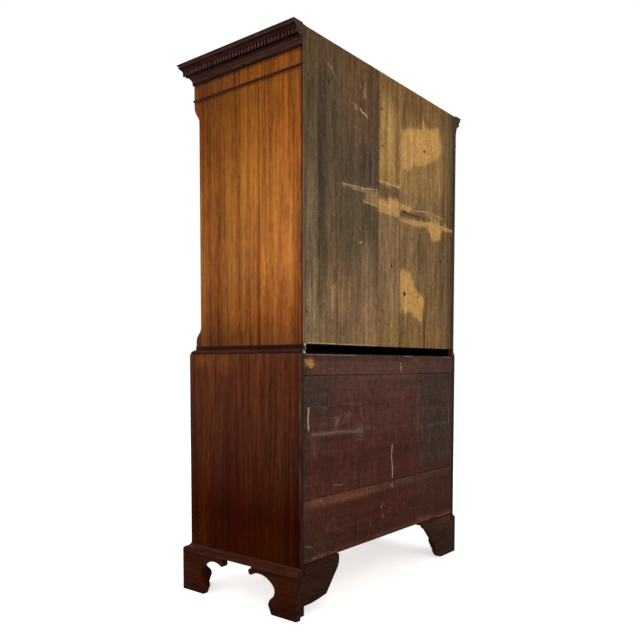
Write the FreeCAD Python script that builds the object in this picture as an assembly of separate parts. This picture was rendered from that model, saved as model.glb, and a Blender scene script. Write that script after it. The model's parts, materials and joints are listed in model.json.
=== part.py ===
"""A mahogany chest on chest: a three-drawer lower chest on bracket feet, with a five-drawer upper chest
that lifts off it. Millimetres, +Z up, front towards -Y, origin on the floor at the middle of the object.
"""
import FreeCAD, Part
import math
import os

from FreeCAD import Vector

# ---------------------------------------------------------------- driving dimensions: the two cases
LOWER_WIDTH = 1014.0
LOWER_DEPTH = 511.0
LOWER_TOP = 838.0            # height of the lower chest's top above the floor
UPPER_SIDE_SETBACK = 12.0    # of the upper case's sides inside the lower case's
UPPER_FRONT_SETBACK = 22.0   # of its front behind the lower case's
TOTAL_HEIGHT = 1830.0
FOOT_HEIGHT = 140.0
CASE_TOP_DROP = 4.0          # the upper case ends this far under the cornice's top
SIDE_BOARD = 20.0            # thickness of the case sides
CASE_BOARD = 18.0            # thickness of tops, bottoms, drawer rails and runners
HOUSING = 6.0                # how far tops, bottoms and rails are let into the sides
BACK_BOARD = 12.0            # thickness of the backboards
BACK_REBATE = 6.0            # how far the backboards lie into each side
LOWER_BOTTOM_LIFT = 34.0     # carcass bottom above the sides' lower ends, lower chest
UPPER_BOTTOM_LIFT = 30.0     # the same, upper chest
LIFT_CLEARANCE = 0.5         # round the upper case inside the waist moulding

# ---------------------------------------------------------------- boards of the two backs
LOWEST_BACKBOARD = 202.0     # width of the lowest of the three horizontal boards
HIGHEST_BACKBOARD = 69.0     # width of the highest, the middle one fills what is left
BACK_TOP_DROP = 1.0          # the highest ends this far under the top
UPPER_BACK_JOINTS = (-249.5, -61.0, 80.0)    # places across of the joints between the upright boards

# ---------------------------------------------------------------- drawer rails, runners and dustboards
FRONT_RAIL = 20.0            # thickness of the upright rails under the two bottoms' front edges
RAIL_DEPTH = 60.0            # front to back, of the rails between the drawers
RUNNER_WIDTH = 45.0
DUSTBOARD = 8.0
STILE_WIDTH = 20.0
STILE_DEPTH = 30.0
GUIDE_HEIGHT = 20.0
MUNTIN_WIDTH = 18.0
STOP_SIZE = (40.0, 12.0, 5.0)                # a drawer stop: across, front to back, up

# ---------------------------------------------------------------- drawers
UPPER_LONG_SHARES = (1.0, 1.12, 1.24)        # opening heights of the long drawers, from the top down
LOWER_LONG_SHARES = (1.0, 1.11, 1.22)
SHORT_DRAWER_OPENING = 155.0
DRAWER_FRONT = 22.0
DRAWER_SIDE = 10.0
DRAWER_BOTTOM = 7.0
BOTTOM_GROOVE = 5.0
BOTTOM_RAISE = 9.0           # drawer bottom above the lower edges of the drawer sides
FRONT_CLEARANCE = 1.0        # round a drawer front in its opening
RUN_CLEARANCE = 0.3          # under the drawer sides
SIDE_DROP = 3.0              # drawer sides end this far under the opening's top
BACK_DROP = 12.0             # the drawer's back is lower than its sides
DRAWER_BACK_GAP = 12.0       # between the drawer's back and the backboards
DOVETAIL_COVER = 1.0         # wood left between the tails and the cock beads
DOVETAIL_MARGIN = 6.0        # from a drawer side's edge to its first tail, which holds the groove's end
DOVETAIL_PITCH = 66.0
DOVETAIL_SHARE = 0.6         # of the pitch, a tail's width at its root
DOVETAIL_FLARE = 3.0
BEAD_WIDTH = 3.0
BEAD_PROUD = 2.5
BEAD_BEVEL = 0.9
BEAD_DEPTH = 8.0

# ---------------------------------------------------------------- brass and locks
LONG_HANDLE_OFFSET = 275.0   # handle centres from the middle of a long drawer
POST_SPACING = 76.0
PIN_STANDOFF = 19.0          # bail's pins in front of the drawer front
ROSE_RADIUS = 11.5
ROSE_DOME = 4.0
ROSE_TOP_RADIUS = 4.0
ROSE_SIDES = 8
STEM_RADIUS = 3.0
HEAD_RADIUS = 5.5            # of the post's bored head, which carries the bail's pin
HEAD_HALF = 5.0              # half the head's length
HEAD_FLARE = 2.0             # length over which the stem widens into the head
PIN_RADIUS = 1.8
PIN_CLEARANCE = 0.1
ROD_SIDES = 5                # facets round a bail
POST_SIDES = 6               # facets round a post and its bore
BAIL_DROP = 39.0
BAIL_GRIP_RADIUS = 3.2
BAIL_BOW = (                 # half a bail from its middle, in shares of half the spacing, drop and radius
    (0.0, 1.0, 1.0), (0.684, 0.936, 0.95), (0.987, 0.6, 0.7), (1.205, 0.154, 0.625))
BAIL_PIN_SPAN = (6.5, 4.5)   # bail's pin beyond the post's middle, outwards and inwards
LOCK_SIZE = (64.0, 11.0, 42.0)
LOCK_DROP = 5.0              # lock under the top edge of the drawer front
KEYHOLE_DROP = 27.0
KEYHOLE_RADIUS = 2.8
KEYHOLE_SLOT = (3.0, 8.5)    # width, and length below the round part's centre
ESCUTCHEON_SIZE = (20.0, 30.0)
ESCUTCHEON_CORNER = 6.0
ESCUTCHEON_SHIFT = 3.0       # plate's middle under the round of the keyhole
ESCUTCHEON_THICKNESS = 1.2

# ---------------------------------------------------------------- mouldings
BASE_PROJECTION = 21.5
BASE_MOULDING_HEIGHT = 25.0
WAIST_MOULDING_HEIGHT = 16.0
WAIST_SETBACK = 2.5          # waist moulding's foot inside the lower chest's edges
UPPER_BEAD_HEIGHT = 11.5
UPPER_BEAD_PROUD = 1.5
ASTRAGAL_HEIGHT = 8.0
ASTRAGAL_PROUD = 3.5
ASTRAGAL_DROP = 124.0        # astragal's lower edge under the cornice's top
CEILING_DROP = 6.0           # top of the highest drawer opening under the astragal
CORNICE_HEIGHT = 68.0
CORNICE_PROJECTION = 42.3
NECK_BEAD = (2.8, 5.0)       # bead at the foot of the cornice: out, up
COVE_FOOT_OUT = 4.5
COVE_TOP = 30.0              # heights of the cornice's members are from its lower edge
DENTIL_BED_OUT = 21.5
DENTIL_TOP = 45.0
FASCIA_OUT = 29.5
CROWN_FOOT = 52.0
CROWN_STEP = (3.0, 2.0)      # little step under the crown: out, up
CROWN_LIP = 3.0              # height of the crown's flat edge
DENTIL_PITCH = 14.0
DENTIL_WIDTH = 8.0
DENTIL_HEIGHT = 14.0
DENTIL_PROUD = 4.0
DENTIL_STRIP = 2.0

# ---------------------------------------------------------------- canted corners of the upper chest
CANT_WIDTH = 24.0            # taken off each face
CANT_START = 45.0            # where the lower stop begins, above the upper case's foot
CANT_END = 74.0              # where the upper stop ends, under the cornice
CANT_STOP = 50.0             # length of each lamb's-tongue stop

# ---------------------------------------------------------------- bracket feet
BRACKET_BOARD = 20.0
FOOT_WIDTH = 105.0           # on the floor, from the corner
REAR_BOARD = 18.0
REAR_BOARD_LENGTH = 237.0    # of the right-hand one; the left-hand one has a toe that reaches further
REAR_BOARD_GAP = 2.0         # between the rear boards and the carcass bottom above them
CORNER_BLOCK = 40.0
GLUE_BLOCK = 20.0
GLUE_BLOCK_REACH = 45.0      # beyond the foot's width on the floor

# ---------------------------------------------------------------- places worked out from them
UPPER_DEPTH = LOWER_DEPTH - UPPER_FRONT_SETBACK
HANDLE_REACH = PIN_STANDOFF + HEAD_HALF
FRONT_REACH = max(LOWER_DEPTH + max(BASE_PROJECTION, HANDLE_REACH), UPPER_DEPTH + CORNICE_PROJECTION)
BACK_Y = FRONT_REACH / 2
LOWER_FRONT_Y = BACK_Y - LOWER_DEPTH
UPPER_FRONT_Y = BACK_Y - UPPER_DEPTH
LOWER_X = LOWER_WIDTH / 2
UPPER_X = LOWER_X - UPPER_SIDE_SETBACK
UPPER_CASE_TOP = TOTAL_HEIGHT - CASE_TOP_DROP
CORNICE_Z = TOTAL_HEIGHT - CORNICE_HEIGHT
ASTRAGAL_Z = TOTAL_HEIGHT - ASTRAGAL_DROP
LOWER_BOTTOM_Z = FOOT_HEIGHT + LOWER_BOTTOM_LIFT
UPPER_BOTTOM_Z = LOWER_TOP + UPPER_BOTTOM_LIFT
LOWER_FLOOR_Z = LOWER_BOTTOM_Z + CASE_BOARD
UPPER_FLOOR_Z = UPPER_BOTTOM_Z + CASE_BOARD
LOWER_CEILING_Z = LOWER_TOP - CASE_BOARD
UPPER_CEILING_Z = ASTRAGAL_Z - CEILING_DROP
REAR_BOARD_TOP = LOWER_BOTTOM_Z - REAR_BOARD_GAP
DOVETAIL_LAP = DRAWER_FRONT - BEAD_DEPTH - DOVETAIL_COVER
REACH = 80.0                 # further out than any moulding

# ---------------------------------------------------------------- curves, in shares of width and height
# A pair of numbers is the end of a straight edge, and a pair of pairs is an arc: a point on it and its end.
BASE_CURVE = ((1.0, 0.26), ((0.805, 0.488), (0.5, 0.616)), ((0.256, 0.744), (0.116, 0.92)), (0.116, 1.0))
WAIST_CURVE = ((1.0, 0.41), ((0.62, 0.74), (0.055, 1.0)))
NECK_BEAD_CURVE = ((0.89, 0.0), (1.5, 0.28), (1.5, 0.72), (1.0, 1.0))
COVE_CURVE = (((0.24, 0.616), (1.0, 1.0)),)
CROWN_CURVE = (((0.43, 0.2), (0.53, 0.51)), ((0.65, 0.83), (1.0, 1.0)))
BRACKET_CURVE = (
    (1.0, 0.0), ((1.071, 0.1), (1.138, 0.207)), ((1.095, 0.314), (1.0, 0.393)),
    ((0.876, 0.55), (0.952, 0.7)), ((1.19, 0.825), (1.667, 0.875)), (1.8, 0.839),
    ((1.976, 0.864), (1.862, 0.961)), (1.876, 1.0), (0.0, 1.0))
REAR_BOARD_CURVES = {
    "right": ((0.316, 0.238), ((0.4, 0.25), (0.65, 0.303)), (0.907, 0.733), ((0.941, 0.855), (0.932, 1.0))),
    "left": ((0.485, 0.0), ((0.65, 0.09), (0.726, 0.25)), (0.717, 0.355), (1.032, 0.8), (1.093, 0.837),
             (1.13, 0.906), (1.28, 0.967), (1.3, 1.0)),
}


# ---------------------------------------------------------------- shape helpers
def block(x0, x1, y0, y1, z0, z1):
    """A square-edged board between two corners."""
    return Part.makeBox(x1 - x0, y1 - y0, z1 - z0, Vector(x0, y0, z0))


def mirrored(shape):
    """The same piece on the other side of the chest."""
    return shape.mirror(Vector(0, 0, 0), Vector(1, 0, 0))


def outline(place, start, steps):
    """A flat face. A step is a point for a straight edge, or (point on the way, end point) for an arc."""
    edges = []
    here = start
    for step in steps:
        if isinstance(step[0], tuple):
            through, end = step
            edges.append(Part.Arc(place(*here), place(*through), place(*end)).toShape())
        else:
            end = step
            edges.append(Part.makeLine(place(*here), place(*end)))
        here = end
    edges.append(Part.makeLine(place(*here), place(*start)))
    return Part.Face(Part.Wire(edges))


def curve(shares, start, end):
    """Steps of an outline, from shares of the way out and up between two corners."""
    def place(share):
        return tuple(low + part * (high - low) for part, low, high in zip(share, start, end))

    return [tuple(place(share) for share in step) if isinstance(step[0], tuple) else place(step)
            for step in shares]


def plan_prism(points, z0, z1):
    """An upright prism over a plan outline."""
    corners = [Vector(x, y, z0) for x, y in points]
    return Part.Face(Part.makePolygon(corners + corners[:1])).extrude(Vector(0, 0, z1 - z0))


def ring_solid(rings, flat_bands):
    """A closed solid of flat facets through rings of as many corners each, capped at both ends."""
    faces = [Part.Face(Part.makePolygon(ring + ring[:1])) for ring in (rings[0], rings[-1])]
    for ring, following in zip(rings, rings[1:]):
        for index, corner in enumerate(ring):
            after = (index + 1) % len(ring)
            a, b, c, d = corner, ring[after], following[after], following[index]
            facets = [[a, b, c, d]] if flat_bands else [[a, b, c], [a, c, d]]
            faces += [Part.Face(Part.makePolygon(facet + facet[:1])) for facet in facets]
    solid = Part.Solid(Part.Shell(faces))
    if solid.Volume < 0:
        solid.reverse()
    return solid


def turned(foot, along, across, stations, sides):
    """A lathe-turned piece of flat facets, from (distance along, radius) stations."""
    up = along.cross(across)
    rings = []
    for distance, radius in stations:
        ring = []
        for corner in range(sides):
            angle = 2 * math.pi * (corner + 0.5) / sides
            outward = across * math.cos(angle) + up * math.sin(angle)
            ring.append(foot + along * distance + outward * radius)
        rings.append(ring)
    return ring_solid(rings, flat_bands=True)


def export(node, solids):
    """Writes one sub-part, of one or more separate solids."""
    shape = solids[0] if len(solids) == 1 else Part.makeCompound(solids)
    shape.exportStep(f"parts/{node}.step")


# ---------------------------------------------------------------- mouldings
def moulding(profile, half_width, front, stretch=1.0):
    """A moulding round the front and both sides of a case, as three lengths mitred at the corners.

    profile is (start, steps) in (distance out of the case's side, height). stretch widens the front length.
    """
    start, steps = profile
    z0, z1 = 0.0, TOTAL_HEIGHT + REACH

    def side_place(out, z):
        return Vector(half_width + out, BACK_Y, z)

    def front_place(out, z):
        return Vector(-half_width - REACH, front - out * stretch, z)

    mitre_y = front - REACH * stretch
    side_plan = [(half_width, front), (half_width + REACH, mitre_y), (half_width + REACH, BACK_Y),
                 (half_width, BACK_Y)]
    front_plan = [(-half_width, front), (half_width, front), (half_width + REACH, mitre_y),
                  (-half_width - REACH, mitre_y)]
    side_run = Vector(0, mitre_y - BACK_Y, 0)
    front_run = Vector(2 * (half_width + REACH), 0, 0)
    side = outline(side_place, start, steps).extrude(side_run).common(plan_prism(side_plan, z0, z1))
    face = outline(front_place, start, steps).extrude(front_run).common(plan_prism(front_plan, z0, z1))
    return [mirrored(side.Solids[0]), face.Solids[0], side.Solids[0]]


def base_moulding():
    """Ogee moulding that hides the joint between the lower case and its feet."""
    low, high = FOOT_HEIGHT, FOOT_HEIGHT + BASE_MOULDING_HEIGHT
    steps = curve(BASE_CURVE, (0.0, low), (BASE_PROJECTION, high))
    profile = (0.0, low), [(BASE_PROJECTION, low)] + steps + [(0.0, high)]
    return moulding(profile, LOWER_X, LOWER_FRONT_Y)


def waist_moulding():
    """Moulding on the lower chest's top that the upper chest drops into."""
    inner_x = UPPER_X + LIFT_CLEARANCE
    inner_front = UPPER_FRONT_Y - LIFT_CLEARANCE
    width = LOWER_X - WAIST_SETBACK - inner_x
    front_width = inner_front - (LOWER_FRONT_Y + WAIST_SETBACK)
    low, high = LOWER_TOP, LOWER_TOP + WAIST_MOULDING_HEIGHT
    profile = (0.0, low), [(width, low)] + curve(WAIST_CURVE, (0.0, low), (width, high)) + [(0.0, high)]
    return moulding(profile, inner_x, inner_front, front_width / width)


def upper_beads():
    """The plain bead round the foot of the upper case and the astragal under its frieze."""
    foot = LOWER_TOP + WAIST_MOULDING_HEIGHT + LIFT_CLEARANCE
    foot_top = foot + UPPER_BEAD_HEIGHT
    proud = UPPER_BEAD_PROUD
    low = (0.0, foot), [(proud, foot), (proud, foot_top - proud), (0.0, foot_top)]
    middle = ASTRAGAL_Z + ASTRAGAL_HEIGHT / 2
    high = (0.0, ASTRAGAL_Z), [((ASTRAGAL_PROUD, middle), (0.0, ASTRAGAL_Z + ASTRAGAL_HEIGHT))]
    return moulding(low, UPPER_X, UPPER_FRONT_Y) + moulding(high, UPPER_X, UPPER_FRONT_Y)


def cornice():
    """Cyma crown over a dentil bed and a cove, in three mitred lengths."""
    foot, top = CORNICE_Z, TOTAL_HEIGHT
    tip = CORNICE_PROJECTION
    bead_out, bead_up = NECK_BEAD
    step_out, step_up = CROWN_STEP
    cove_foot = (COVE_FOOT_OUT, foot + bead_up)
    cove_top = (DENTIL_BED_OUT, foot + COVE_TOP)
    crown_foot = (FASCIA_OUT + step_out, foot + CROWN_FOOT)
    crown_tip = (tip, top - CROWN_LIP)
    steps = curve(NECK_BEAD_CURVE, (0.0, foot), (bead_out, foot + bead_up)) + [cove_foot]
    steps += curve(COVE_CURVE, cove_foot, cove_top)
    steps += [(DENTIL_BED_OUT, foot + DENTIL_TOP), (FASCIA_OUT, foot + DENTIL_TOP),
              (FASCIA_OUT, foot + CROWN_FOOT - step_up),
              (FASCIA_OUT + step_out, foot + CROWN_FOOT - step_up), crown_foot]
    steps += curve(CROWN_CURVE, crown_foot, crown_tip) + [(tip, top), (0.0, top)]
    return moulding(((0.0, foot), steps), UPPER_X, UPPER_FRONT_Y)


def dentil_comb(length, mitred_ends):
    """Plan outline of a dentil strip along +u, standing out along +v, with a tooth at each mitred end."""
    count = round((length - DENTIL_WIDTH) / DENTIL_PITCH)
    pitch = (length - DENTIL_WIDTH) / count
    out = DENTIL_STRIP + DENTIL_PROUD
    points = []
    for index in range(count + 1):
        tooth = index * pitch
        points += [(tooth, DENTIL_STRIP), (tooth, out), (tooth + DENTIL_WIDTH, out),
                   (tooth + DENTIL_WIDTH, DENTIL_STRIP)]
    first_in, last_in = mitred_ends
    points[0] = (first_in * out, 0.0)
    points[-1] = (length - last_in * out, 0.0)
    return points


def dentils():
    """The three dentil strips in the bed of the cornice, mitred at the front corners."""
    z0 = CORNICE_Z + DENTIL_TOP - DENTIL_HEIGHT
    z1 = CORNICE_Z + DENTIL_TOP
    out = DENTIL_STRIP + DENTIL_PROUD
    bed_x = UPPER_X + DENTIL_BED_OUT
    bed_front = UPPER_FRONT_Y - DENTIL_BED_OUT
    front = dentil_comb(2 * (bed_x + out), (1, 1))
    side = dentil_comb(BACK_Y - bed_front + out, (0, 1))
    front_strip = plan_prism([(u - bed_x - out, bed_front - v) for u, v in front], z0, z1)
    side_strip = plan_prism([(bed_x + v, BACK_Y - u) for u, v in side], z0, z1)
    return [mirrored(side_strip), front_strip, side_strip]


# ---------------------------------------------------------------- the two cases
def case_side(half_width, front, z0, z1, housings):
    """The right-hand side board, rebated for the backboards and housed for the boards that it carries."""
    inner = half_width - SIDE_BOARD
    side = block(inner, half_width, front, BACK_Y, z0, z1)
    cuts = [block(inner, inner + BACK_REBATE, BACK_Y - BACK_BOARD, BACK_Y, z0, z1)]
    cuts += [block(inner, inner + HOUSING, y0, y1, low, high) for y0, y1, low, high in housings]
    return side.cut(Part.makeCompound(cuts)).Solids[0]


def housed_board(half_width, y0, y1, z0, z1):
    """A board across the case, let into both sides."""
    reach = half_width - SIDE_BOARD + HOUSING
    return block(-reach, reach, y0, y1, z0, z1)


def cant_cutter():
    """What a canted front corner with lamb's-tongue stops takes off the right-hand corner."""
    depth = CANT_WIDTH / math.sqrt(2)
    low, high = LOWER_TOP + CANT_START, CORNICE_Z - CANT_END
    half = depth / 2
    quarter = CANT_STOP / 4
    corner = Vector(UPPER_X, UPPER_FRONT_Y, 0)
    inward = Vector(-1, 1, 0).normalize()
    along = Vector(1, 1, 0).normalize()

    def place(cut, z):
        return corner + inward * cut + along * -REACH + Vector(0, 0, z)

    steps = [
        ((half * 0.42, low + quarter * 1.3), (half, low + 2 * quarter)),
        ((depth - half * 0.35, low + quarter * 2.8), (depth, low + CANT_STOP)),
        (depth, high - CANT_STOP),
        ((depth - half * 0.35, high - quarter * 2.8), (half, high - 2 * quarter)),
        ((half * 0.42, high - quarter * 1.3), (0.0, high)),
        (-REACH, high), (-REACH, low)]
    return outline(place, (0.0, low), steps).extrude(along * 2 * REACH)


def row_heights(floor, ceiling, shares, fixed=()):
    """Openings of the drawer rows from the top down, as (low, high), with a rail between each two."""
    rows = len(shares) + len(fixed)
    free = ceiling - floor - (rows - 1) * CASE_BOARD - sum(fixed)
    heights = list(fixed) + [free * share / sum(shares) for share in shares]
    openings = []
    top = ceiling
    for height in heights:
        openings.append((top - height, top))
        top -= height + CASE_BOARD
    return openings


LOWER_ROWS = row_heights(LOWER_FLOOR_Z, LOWER_CEILING_Z, LOWER_LONG_SHARES)
UPPER_ROWS = row_heights(UPPER_FLOOR_Z, UPPER_CEILING_Z, UPPER_LONG_SHARES, (SHORT_DRAWER_OPENING,))


def dust_level(inner, front, z, middle=False):
    """Runners and dustboard of one level, behind its rail. z is the top of the rail and the runners."""
    y0, y1 = front + RAIL_DEPTH, BACK_Y - BACK_BOARD
    centre = RUNNER_WIDTH / 2 if middle else 0.0
    solids = []
    runner = block(inner - RUNNER_WIDTH, inner, y0, y1, z - CASE_BOARD, z)
    panel_low = z - (CASE_BOARD + DUSTBOARD) / 2
    panel = block(centre, inner - RUNNER_WIDTH, y0, y1, panel_low, panel_low + DUSTBOARD)
    if middle:
        solids.append(block(-centre, centre, y0, y1, z - CASE_BOARD, z))
        solids += [panel, mirrored(panel)]
    else:
        solids.append(block(-inner + RUNNER_WIDTH, inner - RUNNER_WIDTH, y0, y1, panel_low,
                            panel_low + DUSTBOARD))
    return solids + [runner, mirrored(runner)]


def drawer_stops(x, front, z):
    """The two small blocks on a rail that the drawer front meets when it is shut."""
    across, deep, up = STOP_SIZE
    y0 = front + DRAWER_FRONT
    return [block(side * x - across / 2, side * x + across / 2, y0, y0 + deep, z, z + up)
            for side in (-1, 1)]


def lower_case():
    """Every fixed piece of the lower chest, by node."""
    inner = LOWER_X - SIDE_BOARD
    front, back = LOWER_FRONT_Y, BACK_Y - BACK_BOARD
    rail_tops = [low for low, high in LOWER_ROWS[:-1]]
    top_span = (front, back, LOWER_CEILING_Z, LOWER_TOP)
    bottom_span = (front + FRONT_RAIL, back, LOWER_BOTTOM_Z, LOWER_FLOOR_Z)
    rail_spans = [(front, front + RAIL_DEPTH, z - CASE_BOARD, z) for z in rail_tops]
    foot_span = (front, front + FRONT_RAIL, FOOT_HEIGHT, LOWER_FLOOR_Z)
    side = case_side(LOWER_X, front, FOOT_HEIGHT, LOWER_TOP,
                     [top_span, bottom_span, foot_span] + rail_spans)
    back_top = LOWER_TOP - BACK_TOP_DROP
    joints = (LOWER_BOTTOM_Z, LOWER_BOTTOM_Z + LOWEST_BACKBOARD, back_top - HIGHEST_BACKBOARD, back_top)
    back_x = inner + BACK_REBATE
    rails = [housed_board(LOWER_X, *span) for span in rail_spans + [foot_span]]
    for low, high in LOWER_ROWS:
        rails += drawer_stops(LONG_HANDLE_OFFSET, front, low)
    dust = []
    for z in rail_tops:
        dust += dust_level(inner, front, z)
    return {
        "lower_side_left": [mirrored(side)],
        "lower_side_right": [side],
        "lower_top": [housed_board(LOWER_X, *top_span)],
        "lower_bottom": [housed_board(LOWER_X, *bottom_span)],
        "lower_backboards": [block(-back_x, back_x, back, BACK_Y, low, high)
                             for low, high in zip(joints, joints[1:])],
        "lower_drawer_rails": rails,
        "lower_dustboards": dust,
        "base_moulding": base_moulding(),
        "waist_moulding": waist_moulding(),
    }


def upper_case():
    """Every fixed piece of the upper chest, by node."""
    inner = UPPER_X - SIDE_BOARD
    front, back = UPPER_FRONT_Y, BACK_Y - BACK_BOARD
    stile_back = front + STILE_DEPTH
    opening_x = inner - STILE_WIDTH
    rail_tops = [low for low, high in UPPER_ROWS[:-1]]
    cant = cant_cutter()

    top_span = (front + FRONT_RAIL, back, UPPER_CASE_TOP - CASE_BOARD, UPPER_CASE_TOP)
    bottom_span = (front + FRONT_RAIL, back, UPPER_BOTTOM_Z, UPPER_FLOOR_Z)
    side = case_side(UPPER_X, front, LOWER_TOP, UPPER_CASE_TOP, [top_span, bottom_span]).cut(cant).Solids[0]

    stile = block(opening_x, inner, front, stile_back, UPPER_FLOOR_Z, UPPER_CEILING_Z).cut(cant).Solids[0]
    rails = [block(-opening_x, opening_x, front, front + RAIL_DEPTH, z - CASE_BOARD, z) for z in rail_tops]
    rails.append(block(-inner, inner, front, front + FRONT_RAIL, LOWER_TOP, UPPER_FLOOR_Z))
    short_low, short_high = UPPER_ROWS[0]
    half_muntin = MUNTIN_WIDTH / 2
    rails.append(block(-half_muntin, half_muntin, front, front + RAIL_DEPTH, short_low, short_high))
    rails += [stile, mirrored(stile)]
    short_middle = (opening_x + half_muntin) / 2
    for x, (low, high) in zip([short_middle] + 3 * [LONG_HANDLE_OFFSET], UPPER_ROWS):
        rails += drawer_stops(x, front, low)

    dust = dust_level(inner, front, rail_tops[0], middle=True)
    for z in rail_tops[1:]:
        dust += dust_level(inner, front, z)
    for low, high in UPPER_ROWS:
        guide = block(opening_x, inner, front + RAIL_DEPTH, back, low, low + GUIDE_HEIGHT)
        dust += [guide, mirrored(guide)]
    dust.append(block(-half_muntin, half_muntin, front + RAIL_DEPTH, back, short_low,
                      short_low + GUIDE_HEIGHT))
    kicker = block(inner - RUNNER_WIDTH, inner, front + FRONT_RAIL, back, short_high,
                   short_high + CASE_BOARD)
    dust += [kicker, mirrored(kicker)]

    back_x = inner + BACK_REBATE
    joints = (-back_x,) + UPPER_BACK_JOINTS + (back_x,)
    return {
        "upper_side_left": [mirrored(side)],
        "upper_side_right": [side],
        "upper_top": [housed_board(UPPER_X, *top_span)],
        "upper_bottom": [housed_board(UPPER_X, *bottom_span)],
        "upper_backboards": [block(x0, x1, back, BACK_Y, UPPER_BOTTOM_Z, UPPER_CASE_TOP)
                             for x0, x1 in zip(joints, joints[1:])],
        "upper_drawer_rails": rails,
        "upper_dustboards": dust,
        "frieze": [block(-inner, inner, front, front + FRONT_RAIL, UPPER_CEILING_Z, UPPER_CASE_TOP)],
        "upper_beads": upper_beads(),
        "cornice": cornice(),
        "cornice_dentils": dentils(),
    }


# ---------------------------------------------------------------- bracket feet
def bracket_outline(place):
    """An ogee bracket with a round spur, in (distance from the corner, height)."""
    corner = (0.0, 0.0)
    return outline(place, corner, curve(BRACKET_CURVE, corner, (FOOT_WIDTH, FOOT_HEIGHT)))


def mitred_bracket(corner_x, corner_y, along_x):
    """One ogee bracket of the right-hand front foot, mitred at the corner."""
    if along_x:
        def place(run, z):
            return Vector(corner_x - run, corner_y, z)
        board = bracket_outline(place).extrude(Vector(0, BRACKET_BOARD, 0))
        plan = [(corner_x, corner_y), (corner_x - REACH, corner_y + REACH),
                (0.0, corner_y + REACH), (0.0, corner_y)]
    else:
        def place(run, z):
            return Vector(corner_x, corner_y + run, z)
        board = bracket_outline(place).extrude(Vector(-BRACKET_BOARD, 0, 0))
        plan = [(corner_x, corner_y), (corner_x, BACK_Y), (corner_x - REACH, BACK_Y),
                (corner_x - REACH, corner_y + REACH)]
    return board.common(plan_prism(plan, 0.0, FOOT_HEIGHT)).Solids[0]


def front_foot():
    """The right-hand front foot: two mitred ogee brackets, a corner block and two glue blocks."""
    outer_x = LOWER_X + BASE_PROJECTION
    outer_y = LOWER_FRONT_Y - BASE_PROJECTION
    inner_x, inner_y = outer_x - BRACKET_BOARD, outer_y + BRACKET_BOARD
    glue_low = FOOT_HEIGHT - GLUE_BLOCK
    run = FOOT_WIDTH + GLUE_BLOCK_REACH
    return [
        mitred_bracket(outer_x, outer_y, along_x=False),
        mitred_bracket(outer_x, outer_y, along_x=True),
        block(inner_x - CORNER_BLOCK, inner_x, inner_y, inner_y + CORNER_BLOCK, 0.0, glue_low),
        block(inner_x - GLUE_BLOCK, inner_x, inner_y + GLUE_BLOCK, outer_y + run, glue_low, FOOT_HEIGHT),
        block(outer_x - run, inner_x, inner_y, inner_y + GLUE_BLOCK, glue_low, FOOT_HEIGHT),
    ]


def rear_foot(side):
    """A rear foot, modelled on the right: ogee side bracket, plain rear board and a corner block."""
    outer_x = LOWER_X + BASE_PROJECTION
    inner_x = outer_x - BRACKET_BOARD
    case_x = LOWER_X - SIDE_BOARD

    def side_place(run, z):
        return Vector(outer_x, BACK_Y - run, z)

    def rear_place(run, z):
        return Vector(outer_x - run, BACK_Y, z)

    bracket = bracket_outline(side_place).extrude(Vector(-BRACKET_BOARD, 0, 0))
    steps = curve(REAR_BOARD_CURVES[side], (0.0, 0.0), (REAR_BOARD_LENGTH, REAR_BOARD_TOP))
    steps = [(BRACKET_BOARD, steps[0][1])] + steps
    steps += [(outer_x - case_x, REAR_BOARD_TOP), (outer_x - case_x, FOOT_HEIGHT)]
    board = outline(rear_place, (BRACKET_BOARD, FOOT_HEIGHT), steps).extrude(Vector(0, -REAR_BOARD, 0))
    rear_y = BACK_Y - REAR_BOARD
    glue_low = FOOT_HEIGHT - GLUE_BLOCK
    run = FOOT_WIDTH + GLUE_BLOCK_REACH
    return [
        bracket,
        board,
        block(inner_x - CORNER_BLOCK, inner_x, rear_y - CORNER_BLOCK, rear_y, 0.0, glue_low),
        block(inner_x - GLUE_BLOCK, inner_x, BACK_Y - run, rear_y, glue_low, FOOT_HEIGHT),
    ]


def feet():
    """The front pair and the rear pair of bracket feet."""
    front = front_foot()
    return {
        "front_feet": front + [mirrored(solid) for solid in front],
        "rear_feet": rear_foot("right") + [mirrored(solid) for solid in rear_foot("left")],
    }


# ---------------------------------------------------------------- drawers
def tails(x0, x1, y_root, y_tip, z0, z1):
    """The dovetails on the end of a drawer side, from their roots to their wider tips."""
    span = z1 - z0 - 2 * DOVETAIL_MARGIN
    count = max(2, round(span / DOVETAIL_PITCH))
    pitch = span / (count - 1 + DOVETAIL_SHARE)
    solids = []
    for index in range(count):
        low = z0 + DOVETAIL_MARGIN + index * pitch
        high = low + pitch * DOVETAIL_SHARE
        points = [Vector(x0, y_root, low), Vector(x0, y_tip, low - DOVETAIL_FLARE),
                  Vector(x0, y_tip, high + DOVETAIL_FLARE), Vector(x0, y_root, high)]
        face = Part.Face(Part.makePolygon(points + points[:1]))
        solids.append(face.extrude(Vector(x1 - x0, 0, 0)))
    return Part.makeCompound(solids)


def keyhole(x, z, y0, y1):
    """A keyhole cut through from y0 to y1: a round of facets over a slot."""
    width, length = KEYHOLE_SLOT
    start = math.asin(width / 2 / KEYHOLE_RADIUS)
    turn = (2 * math.pi - 2 * start) / 6
    corners = [Vector(x - width / 2, y0, z - length)]
    for index in range(7):
        angle = start + index * turn
        aside, down = KEYHOLE_RADIUS * math.sin(angle), KEYHOLE_RADIUS * math.cos(angle)
        corners.append(Vector(x - aside, y0, z - down))
    corners.append(Vector(x + width / 2, y0, z - length))
    return Part.Face(Part.makePolygon(corners + corners[:1])).extrude(Vector(0, y1 - y0, 0))


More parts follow.
